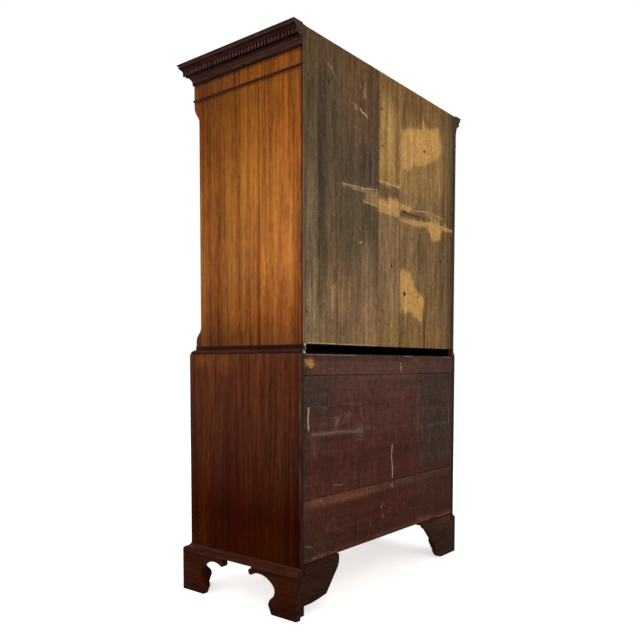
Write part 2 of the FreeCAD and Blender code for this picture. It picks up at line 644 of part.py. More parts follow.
def cock_beads(x0, x1, z0, z1, y):
    """Four soft-edged beads mitred round a drawer front whose face is at y."""
    tip = y - BEAD_PROUD
    square = tip + BEAD_BEVEL
    rear = y + BEAD_DEPTH
    middle_x, middle_z = (x0 + x1) / 2, (z0 + z1) / 2
    wedge_x, wedge_z = (x1 - x0) / 2, (z1 - z0) / 2
    inset = min(wedge_x, wedge_z)
    beads = []
    for side in (-1, 1):
        edge_z = middle_z + side * wedge_z
        edge_x = middle_x + side * wedge_x

        def long_place(depth, v):
            return Vector(x0, v, edge_z - side * depth)

        def short_place(depth, v):
            return Vector(edge_x - side * depth, v, z0)

        steps = [(0.0, square), (BEAD_BEVEL, tip), (BEAD_WIDTH - BEAD_BEVEL, tip), (BEAD_WIDTH, square),
                 (BEAD_WIDTH, rear)]
        long_bead = outline(long_place, (0.0, rear), steps).extrude(Vector(x1 - x0, 0, 0))
        short_bead = outline(short_place, (0.0, rear), steps).extrude(Vector(0, 0, z1 - z0))
        long_plan = [(x0, edge_z), (x1, edge_z), (x1 - inset, edge_z - side * inset),
                     (x0 + inset, edge_z - side * inset)]
        short_plan = [(edge_x, z0), (edge_x, z1), (edge_x - side * inset, z1 - inset),
                      (edge_x - side * inset, z0 + inset)]
        for bead, plan in ((long_bead, long_plan), (short_bead, short_plan)):
            corners = [Vector(x, tip - BEAD_PROUD, z) for x, z in plan]
            wedge = Part.Face(Part.makePolygon(corners + corners[:1]))
            wedge = wedge.extrude(Vector(0, rear - tip + 2 * BEAD_PROUD, 0))
            beads.append(bead.common(wedge).Solids[0])
    return beads


def drawer_front(x0, x1, z0, z1, face_y, let_in, key_x):
    """The front board with its beads, socketed for what is let into it and cut for the lock."""
    rear = face_y + DRAWER_FRONT
    board = block(x0, x1, face_y + BEAD_DEPTH, rear, z0, z1)
    panel = block(x0 + BEAD_WIDTH, x1 - BEAD_WIDTH, face_y, face_y + BEAD_DEPTH, z0 + BEAD_WIDTH,
                  z1 - BEAD_WIDTH)
    lock_x, lock_y, lock_z = LOCK_SIZE
    top = z1 - LOCK_DROP
    recess = block(key_x - lock_x / 2, key_x + lock_x / 2, rear - lock_y, rear, top - lock_z, top)
    hole = keyhole(key_x, z1 - KEYHOLE_DROP, face_y, rear - lock_y)
    board = board.fuse(panel).removeSplitter().cut(let_in + [recess, hole])
    return [board.Solids[0]] + cock_beads(x0, x1, z0, z1, face_y)


def drawer_box(x0, x1, tail_low, low, high, face_y, depth):
    """Sides, back and bottom of a drawer, and the tails that its front is socketed for."""
    front_rear = face_y + DRAWER_FRONT
    back_rear = face_y + depth
    bottom_z = low + BOTTOM_RAISE
    inner_0, inner_1 = x0 + DRAWER_SIDE, x1 - DRAWER_SIDE
    bottom = block(inner_0 - BOTTOM_GROOVE, inner_1 + BOTTOM_GROOVE, front_rear - BOTTOM_GROOVE, back_rear,
                   bottom_z, bottom_z + DRAWER_BOTTOM)
    back = block(inner_0, inner_1, back_rear - DRAWER_SIDE, back_rear, bottom_z + DRAWER_BOTTOM,
                 high - BACK_DROP)
    all_tails, sides = [], []
    for left, right in ((x0, inner_0), (inner_1, x1)):
        side_tails = tails(left, right, front_rear, front_rear - DOVETAIL_LAP, tail_low, high)
        board = block(left, right, front_rear, back_rear, low, high)
        sides.append(board.fuse(side_tails).removeSplitter().cut(bottom).Solids[0])
        all_tails.append(side_tails)
    return sides + [back, bottom], all_tails


def faceted_rod(points, radii):
    """A closed rod of flat facets that follows points in an upright plane along the front."""
    across = Vector(0, 1, 0)
    rings = []
    for index, point in enumerate(points):
        before = points[max(index - 1, 0)]
        after = points[min(index + 1, len(points) - 1)]
        up = (after - before).normalize().cross(across)
        ring = []
        for corner in range(ROD_SIDES):
            angle = 2 * math.pi * (corner + 0.5) / ROD_SIDES
            ring.append(point + (across * math.cos(angle) + up * math.sin(angle)) * radii[index])
        rings.append(ring)
    return ring_solid(rings, flat_bands=False)


def bail(x, face_y, z):
    """A swan-neck bail that hangs from its two pins at height z."""
    post = POST_SPACING / 2
    half = [(post * aside, -BAIL_DROP * drop, BAIL_GRIP_RADIUS * radius) for aside, drop, radius in BAIL_BOW]
    half += [(post + BAIL_PIN_SPAN[0], 0.0, PIN_RADIUS), (post - BAIL_PIN_SPAN[1], 0.0, PIN_RADIUS)]
    left = [(-u, v, r) for u, v, r in reversed(half)]
    stations = left + half[1:]
    y = face_y - PIN_STANDOFF
    points = [Vector(x + u, y, z + v) for u, v, r in stations]
    return faceted_rod(points, [r for u, v, r in stations])


def post_and_rose(x, face_y, z):
    """A rose on the drawer front, and the turned post whose bored head carries a bail's pin."""
    foot = Vector(x, face_y, z)
    out, across = Vector(0, -1, 0), Vector(1, 0, 0)
    rose = turned(foot, out, across, [(0.0, ROSE_RADIUS), (ROSE_DOME, ROSE_TOP_RADIUS)], ROSE_SIDES)
    post = turned(foot, out, across, [
        (ROSE_DOME, STEM_RADIUS), (PIN_STANDOFF - HEAD_HALF, STEM_RADIUS),
        (PIN_STANDOFF - HEAD_HALF + HEAD_FLARE, HEAD_RADIUS), (PIN_STANDOFF + HEAD_HALF, HEAD_RADIUS)],
        POST_SIDES)
    bore_radius = (PIN_RADIUS + PIN_CLEARANCE) / math.cos(math.pi / POST_SIDES)
    bore = turned(foot + out * PIN_STANDOFF, across, out,
                  [(-HEAD_RADIUS, bore_radius), (HEAD_RADIUS, bore_radius)], POST_SIDES)
    return [rose, post.cut(bore).Solids[0]]


def lock_and_escutcheon(x, face_y, top):
    """A drawer lock let into the back of the front, and the plate round its keyhole."""
    lock_x, lock_y, lock_z = LOCK_SIZE
    rear = face_y + DRAWER_FRONT
    lock_top = top - LOCK_DROP
    lock = block(x - lock_x / 2, x + lock_x / 2, rear - lock_y, rear, lock_top - lock_z, lock_top)
    half_width, half_height = ESCUTCHEON_SIZE[0] / 2, ESCUTCHEON_SIZE[1] / 2
    corner = ESCUTCHEON_CORNER
    z = top - KEYHOLE_DROP - ESCUTCHEON_SHIFT
    plate_y = face_y - ESCUTCHEON_THICKNESS
    corners = []
    for u, v in ((half_width, half_height - corner), (half_width - corner, half_height)):
        corners += [(u, v)]
    corners += [(-u, v) for u, v in reversed(corners)]
    corners += [(-u, -v) for u, v in corners]
    points = [Vector(x + u, plate_y, z + v) for u, v in corners]
    plate = Part.Face(Part.makePolygon(points + points[:1])).extrude(Vector(0, ESCUTCHEON_THICKNESS, 0))
    return [lock, plate.cut(keyhole(x, top - KEYHOLE_DROP, plate_y, face_y)).Solids[0]]


def drawer(name, x0, x1, low, high, face_y, depth, handle_places):
    """All the nodes of one drawer in the opening from x0 to x1 and low to high."""
    left, right = x0 + FRONT_CLEARANCE, x1 - FRONT_CLEARANCE
    bottom_edge, top_edge = low + FRONT_CLEARANCE, high - FRONT_CLEARANCE
    middle = (x0 + x1) / 2
    box, side_tails = drawer_box(left, right, bottom_edge, low + RUN_CLEARANCE, high - SIDE_DROP, face_y,
                                 depth)
    handle_z = (low + high) / 2 + BAIL_DROP / 4
    fittings = lock_and_escutcheon(middle, face_y, top_edge)
    nodes = {}
    for suffix, x in handle_places:
        for side in (-1, 1):
            fittings += post_and_rose(x + side * POST_SPACING / 2, face_y, handle_z)
        nodes[f"{name}_bail{suffix}"] = [bail(x, face_y, handle_z)]
    nodes[f"{name}_front"] = drawer_front(left, right, bottom_edge, top_edge, face_y,
                                          side_tails + box[-1:], middle)
    nodes[f"{name}_box"] = box
    nodes[f"{name}_fittings"] = fittings
    return nodes


def drawers():
    """The short drawers, then the long ones from the top of the chest down."""
    nodes = {}
    pair = (("_left", -LONG_HANDLE_OFFSET), ("_right", LONG_HANDLE_OFFSET))
    upper_x = UPPER_X - SIDE_BOARD - STILE_WIDTH
    lower_x = LOWER_X - SIDE_BOARD
    upper_depth = UPPER_DEPTH - BACK_BOARD - DRAWER_BACK_GAP
    lower_depth = LOWER_DEPTH - BACK_BOARD - DRAWER_BACK_GAP
    half_muntin = MUNTIN_WIDTH / 2
    low, high = UPPER_ROWS[0]
    for name, x0, x1 in (("short_drawer_left", -upper_x, -half_muntin),
                         ("short_drawer_right", half_muntin, upper_x)):
        nodes.update(drawer(name, x0, x1, low, high, UPPER_FRONT_Y, upper_depth, (("", (x0 + x1) / 2),)))
    for index, (low, high) in enumerate(UPPER_ROWS[1:], 1):
        nodes.update(drawer(f"upper_drawer_{index}", -upper_x, upper_x, low, high, UPPER_FRONT_Y,
                            upper_depth, pair))
    for index, (low, high) in enumerate(LOWER_ROWS, 1):
        nodes.update(drawer(f"lower_drawer_{index}", -lower_x, lower_x, low, high, LOWER_FRONT_Y,
                            lower_depth, pair))
    return nodes


def main():
    os.makedirs("parts", exist_ok=True)
    for nodes in (lower_case(), upper_case(), feet(), drawers()):
        for node, solids in nodes.items():
            export(node, solids)


main()
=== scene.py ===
"""Looks of the mahogany chest on chest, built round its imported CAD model.

Places and lengths are in millimetres in the CAD's frame. Meshes and materials have them in metres.
"""

import cmath
import json
import math
import re

import bmesh
import bpy
import numpy as np
from mathutils import Matrix, Vector


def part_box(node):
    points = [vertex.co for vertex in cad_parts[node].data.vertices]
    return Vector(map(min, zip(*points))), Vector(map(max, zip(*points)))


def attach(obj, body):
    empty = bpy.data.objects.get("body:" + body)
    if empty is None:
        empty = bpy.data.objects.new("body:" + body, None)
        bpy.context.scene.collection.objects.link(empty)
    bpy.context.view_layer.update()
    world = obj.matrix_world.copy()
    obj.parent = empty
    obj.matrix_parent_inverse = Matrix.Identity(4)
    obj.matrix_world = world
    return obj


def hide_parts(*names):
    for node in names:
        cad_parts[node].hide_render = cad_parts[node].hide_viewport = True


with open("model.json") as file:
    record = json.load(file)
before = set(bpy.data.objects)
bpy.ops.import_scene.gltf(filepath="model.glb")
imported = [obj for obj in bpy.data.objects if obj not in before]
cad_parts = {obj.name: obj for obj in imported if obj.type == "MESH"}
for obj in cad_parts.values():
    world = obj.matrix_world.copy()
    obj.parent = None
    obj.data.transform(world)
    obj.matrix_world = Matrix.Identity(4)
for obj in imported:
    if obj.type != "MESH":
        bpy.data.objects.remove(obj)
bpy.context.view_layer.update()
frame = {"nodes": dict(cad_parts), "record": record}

# ---------------------------------------------------------------- dimensions shared with the CAD
BACK = 267.5
LOWER_X, LOWER_FRONT = 507.0, -243.5
UPPER_X, UPPER_FRONT = 495.0, -221.5
SIDE_BOARD, BACK_BOARD, BACK_REBATE = 20.0, 12.0, 6.0
FOOT_TOP, LOWER_BOTTOM, LOWER_TOP, UPPER_BOTTOM = 140.0, 174.0, 838.0, 868.0
TOP, CASE_TOP = 1830.0, 1826.0
LIFT_CLEARANCE = 0.5
UPPER_JOINTS = (-249.5, -61.0, 80.0)
LOWER_JOINTS = (376.0, 768.0)
BASE_PROJECTION, BASE_HEIGHT = 21.5, 25.0
WAIST_SETBACK, WAIST_HEIGHT = 2.5, 16.0
CORNICE_Z, CORNICE_OUT = 1762.0, 42.3
DENTIL_BED, DENTIL_TOP, DENTIL_HEIGHT, DENTIL_PITCH, DENTIL_WIDTH = 21.5, 45.0, 14.0, 14.0, 8.0
DENTIL_STRIP, DENTIL_PROUD = 2.0, 4.0
ASTRAGAL = (1706.0, 8.0, 3.5)
FOOT_WIDTH, BRACKET_BOARD, REAR_BOARD, REAR_LENGTH, REAR_TOP = 105.0, 20.0, 18.0, 237.0, 172.0
CORNER_BLOCK, GLUE_BLOCK, GLUE_REACH = 40.0, 20.0, 45.0
POST, PIN_OUT, BAIL_DROP, GRIP_RADIUS, PIN_RADIUS = 38.0, 19.0, 39.0, 3.2, 1.8
PLATE_X, PLATE_Z, PLATE_POWER, PLATE_DROP = 10.0, 15.0, 2.6, 3.0
KEYHOLE_DEPTH, KEYHOLE_RADIUS, SLOT_HALF, SLOT_END = 27.0, 2.8, 1.5, 8.5
LOCK_HALF, LOCK_BACKS, LOCK_SPAN, LOCK_TOP, LOCK_SCREWS = 31.6, (11.4, 21.6), (41.6, 0.4), 5.0, (26, (-7, -36))
BOARD_EDGE, BOARD_EDGE_DEPTH, BOARD_GAP = 0.9, 1.4, 0.35

# shares of width and height: a pair is a straight edge's end, a pair of pairs an arc's middle and end
BASE_CURVE = ((1.0, 0.26), ((0.805, 0.488), (0.5, 0.616)), ((0.256, 0.744), (0.116, 0.92)), (0.116, 1.0))
WAIST_CURVE = ((1.0, 0.41), ((0.62, 0.74), (0.055, 1.0)))
BRACKET_CURVE = (
    (1.0, 0.0), ((1.071, 0.1), (1.138, 0.207)), ((1.095, 0.314), (1.0, 0.393)),
    ((0.876, 0.55), (0.952, 0.7)), ((1.19, 0.825), (1.667, 0.875)), (1.8, 0.839),
    ((1.976, 0.864), (1.862, 0.961)), (1.876, 1.0), (0.0, 1.0))
REAR_CURVES = {
    1: ((0.316, 0.238), ((0.4, 0.25), (0.65, 0.303)), (0.907, 0.733), ((0.941, 0.855), (0.932, 1.0))),
    -1: ((0.485, 0.0), ((0.65, 0.09), (0.726, 0.25)), (0.717, 0.355), (1.032, 0.8), (1.093, 0.837),
         (1.13, 0.906), (1.28, 0.967), (1.3, 1.0))}

BUMP_STRENGTH, LAMP_SIZE = 0.5, 2.6


# ---------------------------------------------------------------- colours and shader nodes
def linear(*srgb):
    """A linear colour from sRGB values in 0 to 255."""
    scaled = [c / 255 for c in srgb]
    return tuple(c / 12.92 if c <= 0.04045 else ((c + 0.055) / 1.055) ** 2.4 for c in scaled) + (1.0,)


class Value:
    """A number in a node tree. Its arithmetic adds Math nodes."""

    def __init__(self, nodes, socket):
        self.nodes, self.socket = nodes, socket

    def __add__(self, other):
        return self.nodes.math("ADD", self, other)

    def __sub__(self, other):
        return self.nodes.math("SUBTRACT", self, other)

    def __rsub__(self, other):
        return self.nodes.math("SUBTRACT", other, self)

    def __mul__(self, other):
        return self.nodes.math("MULTIPLY", self, other)

    def __abs__(self):
        return self.nodes.math("ABSOLUTE", self)

    __radd__, __rmul__ = __add__, __mul__


class Nodes:
    """The nodes of a material or of the world."""

    def __init__(self, owner):
        owner.use_nodes = True
        self.tree = owner.node_tree
        self.tree.nodes.clear()

    def node(self, kind, *values, **settings):
        node = self.tree.nodes.new("ShaderNode" + kind)
        for key, value in settings.items():
            setattr(node, key, value)
        for socket, value in zip(node.inputs, values):
            self.plug(socket, value)
        return node

    def plug(self, socket, value):
        if isinstance(value, Value):
            value = value.socket
        if isinstance(value, bpy.types.NodeSocket):
            self.tree.links.new(value, socket)
        else:
            socket.default_value = value

    def math(self, operation, *values):
        return Value(self, self.node("Math", *values, operation=operation).outputs[0])

    def vector(self, operation, *values):
        return self.node("VectorMath", *values, operation=operation).outputs[0]

    def span(self, value, low, high, start=0.0, end=1.0, kind="LINEAR"):
        """From start to end as the value goes from low to high, and no further."""
        return Value(self, self.node("MapRange", value, low, high, start, end, interpolation_type=kind).outputs[0])

    def smooth(self, *values):
        return self.span(*values, kind="SMOOTHSTEP")


class Shader(Nodes):
    """One material's nodes. Positions are in the object's own frame, in metres."""

    def __init__(self, name):
        self.material = bpy.data.materials.new(name)
        super().__init__(self.material)
        self.place = self.node("TexCoord").outputs["Object"]
        self.x, self.y, self.z = (Value(self, axis) for axis in self.node("SeparateXYZ", self.place).outputs)

    def mix(self, share, first, second):
        """Between two colours. Tuples are sRGB."""
        node = self.node("Mix", data_type="RGBA")
        for index, value in ((0, share), (6, first), (7, second)):
            self.plug(node.inputs[index], linear(*value) if isinstance(value, tuple) else value)
        return node.outputs[2]

    def scale(self, colour, gain):
        """The colour times a number or another colour."""
        colour = colour[:3] if isinstance(colour, tuple) else colour
        if not isinstance(gain, (float, Value)):
            return self.vector("MULTIPLY", colour, gain)
        node = self.node("VectorMath", colour, operation="SCALE")
        self.plug(node.inputs["Scale"], gain)
        return node.outputs[0]

    def tint(self, share, colour, gain):
        return self.mix(share, colour, self.scale(colour, gain))

    def texture(self, place, detail=2.0, roughness=0.5, distortion=0.0):
        node = self.node("TexNoise", place)
        for key, value in (("Scale", 1.0), ("Detail", detail), ("Roughness", roughness), ("Distortion", distortion)):
            node.inputs[key].default_value = value
        return Value(self, node.outputs[0])

    def noise(self, across, along, axis, seed, *kind):
        """Noise of so many grains a metre: along on the wood's axis, and across on the other two."""
        factors = [across] * 3
        factors[axis] = along
        scaled = self.vector("MULTIPLY", self.place, factors)
        return self.texture(self.vector("ADD", scaled, (seed, seed * 1.7, seed * 2.3)), *kind)

    def spots(self, places):
        """1 in the middle of soft ellipses on a side board, 0 outside: (y, z, half size, half size) in mm."""
        result = 0.0
        for y, z, width, height in places:
            away = self.node("CombineXYZ", *(
                self.span(value, (middle - half) / 1000, (middle + half) / 1000, -1.0, 1.0)
                for value, middle, half in ((self.y, y, width), (self.z, z, height))))
            radius = self.node("VectorMath", away.outputs[0], operation="LENGTH").outputs[1]
            result = self.math("MAXIMUM", result, self.smooth(radius, 0.3, 1.0, 1.0, 0.0))
        return result

    def attribute(self, name, output="Fac"):
        return Value(self, self.node("Attribute", attribute_name=name).outputs[output])

    def stops(self, stops, column=1):
        """A colour by height, from (z in mm, sRGB colour, ...) stops."""
        low, high = stops[0][0], stops[-1][0]
        node = self.node("ValToRGB", self.span(self.z, low / 1000, high / 1000))
        elements = node.color_ramp.elements
        elements.remove(elements[-1])
        for index, stop in enumerate(stops):
            position = (stop[0] - low) / (high - low)
            element = elements.new(position) if index else elements[0]
            element.position, element.color = position, linear(*stop[column])
        return node.outputs[0]

    def finish(self, colour, roughness, height, relief, metallic=0.0, specular=0.5):
        shader = self.node("BsdfPrincipled", colour, metallic, roughness)
        shader.inputs["Specular IOR Level"].default_value = specular
        bump = self.node("Bump", BUMP_STRENGTH, relief)
        self.plug(bump.inputs["Height"], height)
        self.plug(shader.inputs["Normal"], bump.outputs[0])
        self.node("OutputMaterial", shader.outputs[0])
        return self.material


def grain(s, axis, seed, contrast, across=150.0, along=2.2, flecked=0.7):
    """Light from a wood's lines, bands, flecks and mottle, 1 at its mean. Then lines, tone and pores in 0 to 1."""
    lines = s.span(s.noise(across / 2.2, along / 2, axis, seed, 2.0, 0.8, 1.0), 0.33, 0.67)
    bands = s.span(s.noise(across / 9, along / 5, axis, seed + 11, 2.0, 0.8, 0.8), 0.33, 0.67)
    flecks = s.span(s.noise(across / 1.6, along * 6, axis, seed + 5, 2.0, 0.8), 0.34, 0.66)
    mottle = s.span(s.noise(90.0, 70.0, axis, seed + 9, 2.0, 0.8), 0.33, 0.67, -0.09, 0.09)
    light = mottle + (1.0 - contrast * (1.4 + flecked) / 2) + lines * contrast
    light += bands * (contrast * 0.4) + flecks * (contrast * flecked)
    tone = s.span(s.noise(across / 10, along / 4, axis, seed + 7, 3.0, 0.7, 0.8), 0.36, 0.64)
    pores = s.smooth(s.noise(across * 6, along * 22, axis, seed + 3, 1.0, 0.5), 0.6, 0.7)
    return light, lines, tone, pores


def wood(name, axis, seed, colour, second, contrast=0.5, rough=(0.42, 0.55), specular=0.12, pore=0.25,
         relief=0.00012, across=150.0, along=2.2, shade=None, rear=None):
    """Grained wood between two tones, each an sRGB colour or a function of the shader. shade may alter the
    colour before the grain is laid on, and rear is the stain on what faces the back."""
    s = Shader(name)
    light, lines, tone, pores = grain(s, axis, seed, contrast, across, along)
    body = s.mix(tone, *(c(s) if callable(c) else c for c in (colour, second)))
    if shade:
        body = shade(s, body)
    if rear:
        body = s.mix(rear_edge(s), body, rear)
    return s.finish(s.scale(body, light * (1.0 - pore * pores)), s.span(lines, 0.0, 1.0, *rough),
                    lines - 0.8 * pores, relief, specular=specular)


# ---------------------------------------------------------------- materials
def rear_edge(s):
    """1 on a board's rear edge, which took the backboards' stain."""
    return s.smooth(s.y, BACK / 1000 - 0.0005, BACK / 1000 - 0.0002)


def upper_side_material():
    # Colour by height, brightest in the middle: partly faded polish, partly painted highlight on the polished side,
    # darker at the top and bottom.
    tones = [(838, (98, 55, 24), (86, 45, 21)), (900, (116, 65, 24), (102, 53, 20)),
             (980, (142, 83, 31), (122, 64, 24)), (1130, (162, 103, 45), (143, 81, 35)),
             (1400, (163, 103, 40), (142, 80, 29)), (1500, (150, 90, 32), (131, 71, 23)),
             (1640, (136, 80, 23), (117, 61, 16)), (1830, (121, 66, 18), (102, 49, 12))]
    # The rear edge takes the backboards' stain; below the backboards, by the gap between the chests, it is dark as
    # painted shade.
    stain = [(838, (44, 34, 28)), (868, (44, 34, 28)), (876, (104, 86, 64)), (1400, (94, 77, 58)),
             (1830, (88, 70, 46))]

    def shade(s, body):
        # Painted light and shade: darker towards the front and towards the rear edge, with a painted shadow under the
        # astragal and under the cornice.
        light = s.smooth(s.y, -0.15, 0.14, 0.72, 1.02) * s.smooth(s.y, 0.215, 0.25, 1.0, 0.72)
        for moulding in (ASTRAGAL[0], CORNICE_Z):
            below = moulding / 1000 - s.z
            light *= 1.0 - 0.5 * s.smooth(below, 0.012, 0.004) * s.smooth(below, -0.001, 0.001)
        ragged = s.noise(90.0, 14.0, 2, 21.0, 4.0, 0.7)
        worn = s.smooth(s.y, 0.248, 0.256) * s.smooth(ragged, 0.4, 0.6, 0.1, 0.8)
        body = s.mix(worn, s.scale(body, light), (104, 42, 30))
        # Painted shadow: a dark strip along the rear arris.
        body = s.mix(s.smooth(s.y, 0.2585, 0.262, 0.0, 0.85), body, (58, 24, 16))
        split = s.smooth(s.y, 0.19, 0.25) * s.smooth(s.z, 1.0, 0.88) * s.smooth(ragged, 0.5, 0.6)
        joint = s.y + 0.008 * s.noise(2.0, 3.0, 2, 5.0) - 0.0875
        line = s.smooth(abs(joint), 0.0046, 0.0012) * s.smooth(s.z, 1.706, 1.704)
        body = s.scale(body, (1.0 - 0.45 * split) * (1.0 - 0.55 * line) * s.smooth(joint, -0.008, 0.004, 0.95, 1.05))
        # Painted shade: near black on the inner faces below the upper bottom, in the gap between the chests.
        painted_gap_shade = s.smooth(abs(s.x), 0.478, 0.476) * s.smooth(s.z, 0.870, 0.867)
        body = s.mix(painted_gap_shade, body, (14, 8, 6))
        # Painted highlight on the polished side, partly faded polish: lighter patches in the middle of the side.
        highlight_and_fade = s.spots([(108, 1090, 22, 240), (208, 1150, 34, 130), (150, 1290, 26, 160)])
        smudge = s.spots([(-4, 912, 30, 34), (12, 1110, 20, 70), (-26, 1180, 16, 60), (160, 1600, 40, 90)])
        smudge *= s.smooth(s.noise(60.0, 20.0, 2, 23.0, 4.0, 0.7), 0.4, 0.6, 0.1, 0.45)
        body = s.scale(body, (1.0 + 0.18 * highlight_and_fade) * (1.0 - 0.55 * smudge))
        chipped = s.smooth(s.noise(70.0, 70.0, 2, 27.0), 0.5, 0.56) * s.smooth(s.z, 0.872, 0.866)
        near = s.mix(chipped, s.stops(stain), (170, 156, 140))
        return s.mix(rear_edge(s), body, s.mix(s.smooth(s.x, -0.1, 0.1), (60, 48, 36), near))

    return wood("upper_side_mahogany", 2, 3.0, lambda s: s.stops(tones, 1), lambda s: s.stops(tones, 2),
                contrast=0.68, rough=(0.42, 0.56), specular=0.03, pore=0.22, shade=shade)


def lower_side_material():
    # Colour by height, darker towards the bottom: painted shade on the red mahogany.
    tones = [(138, (51, 19, 1), (41, 9, 0)), (300, (48, 12, 0), (38, 4, 0)), (400, (60, 25, 11), (46, 12, 4)),
             (500, (67, 32, 19), (51, 21, 12)), (620, (77, 39, 23), (59, 26, 16)),
             (780, (84, 43, 23), (66, 29, 17)), (838, (86, 49, 27), (68, 34, 21))]
    stain = [(174, (50, 30, 22)), (372, (54, 31, 23)), (380, (50, 33, 28)), (838, (56, 42, 36))]

    def shade(s, body):
        streak = s.smooth(s.noise(14.0, 0.6, 2, 31.0, 3.0, 0.6, 0.6), 0.5, 0.64, 0.0, 0.45)
        body = s.tint(streak, body, (1.5, 1.35, 1.2))
        off_stripe = s.y - 0.06 * s.z + 0.175 + 0.03 * s.noise(2.0, 2.0, 2, 8.0)
        body = s.tint(s.smooth(abs(off_stripe), 0.006, 0.034, 0.8, 0.0), body, (1.6, 1.7, 1.3))
        # Painted sheen: lighter patches towards the top front; the narrow one brightens the diagonal streak.
        glow = s.spots([(-148, 450, 14, 110), (-180, 815, 50, 30), (-60, 800, 60, 50)])
        body = s.tint(0.6 * glow, body, (1.8, 1.8, 1.4))
        corner = s.smooth(s.y, 0.259, 0.264) * s.smooth(s.noise(40.0, 9.0, 2, 3.0), 0.4, 0.6)
        body = s.mix(corner * s.smooth(s.z, 0.3, 0.7, 0.1, 0.5), body, (124, 88, 66))
        return s.mix(rear_edge(s), body, s.stops(stain))

    return wood("lower_side_mahogany", 2, 11.0, lambda s: s.stops(tones, 1), lambda s: s.stops(tones, 2),
                contrast=0.62, rough=(0.42, 0.54), specular=0.008, pore=0.2, shade=shade)


def moulding_material(name, colour, second, axis, seed, dust=(84, 54, 40), share=0.4, heights=None, rear=(40, 30, 24)):
    """Dark moulded mahogany, with dust on what looks up. heights are (z, grey) stops of painted shade and highlight on
    its members.
    """
    def shade(s, body):
        if heights:
            body = s.scale(body, s.stops([(z, (grey,) * 3) for z, grey in heights]))
        # Painted shade: near black on the inner faces beside the upper case, in the gap between the chests.
        inner = s.smooth(abs(s.x), UPPER_X / 1000 + 0.002, UPPER_X / 1000 + 0.001) * s.smooth(s.y, -0.2, -0.19)
        body = s.mix(inner, body, (12, 7, 6))
        up = s.node("SeparateXYZ", s.node("NewGeometry").outputs["Normal"]).outputs[2]
        cloud = s.smooth(s.noise(9.0, 9.0, 2, 4.0, 4.0, 0.6), 0.3, 0.7, share * 0.4, share)
        return s.mix(s.smooth(up, 0.5, 0.95) * cloud, body, dust)

    return wood(name, axis, seed, colour, second, contrast=0.6, rough=(0.4, 0.55), specular=0.02, shade=shade,
                rear=rear)


def dentil_gap_shade(s, body):
    """Painted shade on the strip between the paler teeth."""
    out = s.math("MAXIMUM", abs(s.x) - (UPPER_X + DENTIL_BED) / 1000, (UPPER_FRONT - DENTIL_BED) / 1000 - s.y)
    return s.mix(s.smooth(out, 0.003, 0.0055), (26, 12, 11), body)


def front_material(name, seed, colour, second):
    """Book-matched mahogany veneer, figured across the drawer front."""
    s = Shader(name)
    matched = s.node("CombineXYZ", abs(s.x), s.y, s.z).outputs[0]
    scaled = s.vector("MULTIPLY", matched, (5.0, 9.0, 24.0))
    flame = s.texture(s.vector("ADD", scaled, (seed, 2.0, seed)), 4.0, 0.6, 2.2)
    light, lines, _, pores = grain(s, 0, seed, 0.35, 160.0, 3.0)
    body = s.mix(s.smooth(flame, 0.36, 0.64), second, colour)
    return s.finish(s.scale(body, light * (1.0 - 0.22 * pores)), s.span(flame, 0.3, 0.7, 0.3, 0.42), lines,
                    0.00008, specular=0.06)


def brass_material():
    s = Shader("worn_brass")
    cloud = s.noise(60.0, 60.0, 2, 5.0, 4.0, 0.6)
    share = 0.35 * s.noise(700.0, 700.0, 2, 8.0, 2.0, 0.6) + 0.75 * cloud
    colour = s.mix(s.smooth(share, 0.42, 0.7), (196, 152, 84), (118, 84, 44))
    return s.finish(colour, s.span(share, 0.35, 0.7, 0.26, 0.48), cloud, 0.0002, metallic=1.0)


def board_material(name, bare, rubbed, scratch, contrast, axis, seed, across=110.0, flecked=0.8, grime=0.0):
    """Old backboards: painted stain tone, grain, bare patches, rubbed places, scratches and dark marks."""
    s = Shader(name)
    light, lines, _, pores = grain(s, axis, seed, contrast, across, 1.6, flecked)
    blotch = s.span(s.noise(22.0, 7.0, axis, seed + 13, 6.0, 0.8, 0.4), 0.36, 0.64, -0.35, 0.35)
    light += blotch * contrast
    if grime:
        light *= s.span(s.noise(26.0, 6.0, 2, seed + 31, 5.0, 0.8, 1.2), 0.34, 0.66, 1.0 - grime, 1.0 + grime)
    speck = s.noise(60.0, 60.0, axis, seed + 29, 2.0, 0.8)
    colour = s.scale(s.attribute("stain", "Color"), light)
    colour = s.tint(s.smooth(speck, 0.56, 0.68, 0.0, 0.55), colour, 1.7)
    colour = s.tint(s.smooth(speck, 0.32, 0.44, 0.55, 0.0), colour, 0.5)
    coarse = s.span(s.noise(40.0, 16.0, axis, seed + 17, 5.0, 0.7), 0.3, 0.7, -0.011, 0.011)
    torn = s.span(s.noise(300.0, 26.0, axis, seed + 19, 3.0, 0.6), 0.3, 0.7, -0.008, 0.008)
    fresh = s.span(light, 0.5, 1.5, 0.7, 1.3) * s.span(speck, 0.3, 0.7, 0.8, 1.2)
    for field, tone, strength in (("rubbed", rubbed, 0.7), ("bare", bare, 0.92)):
        edge = s.attribute(field) + coarse + torn
        share = s.smooth(edge, -0.003, 0.006, 0.0, 0.6) + s.smooth(edge, -0.014, 0.02, 0.0, 0.4)
        colour = s.mix(share * strength, colour, s.scale(linear(*tone), fresh))
    broken = s.smooth(s.noise(40.0, 40.0, axis, seed + 37, 3.0, 0.7), 0.3, 0.5, 0.15, 0.9)
    line = s.smooth(abs(s.attribute("across")), 1.0, 0.4) * s.smooth(s.attribute("along"), 0.0, 0.006)
    colour = s.mix(line * broken * s.attribute("cover"), colour, scratch)
    edge = s.attribute("dark") + 0.16 * torn
    colour = s.mix(s.smooth(edge, -0.0012, 0.0018, 0.0, 0.85), colour, (34, 26, 22))
    return s.finish(colour, s.span(lines, 0.0, 1.0, 0.72, 0.88), lines - 0.6 * pores, 0.0005, specular=0.03)


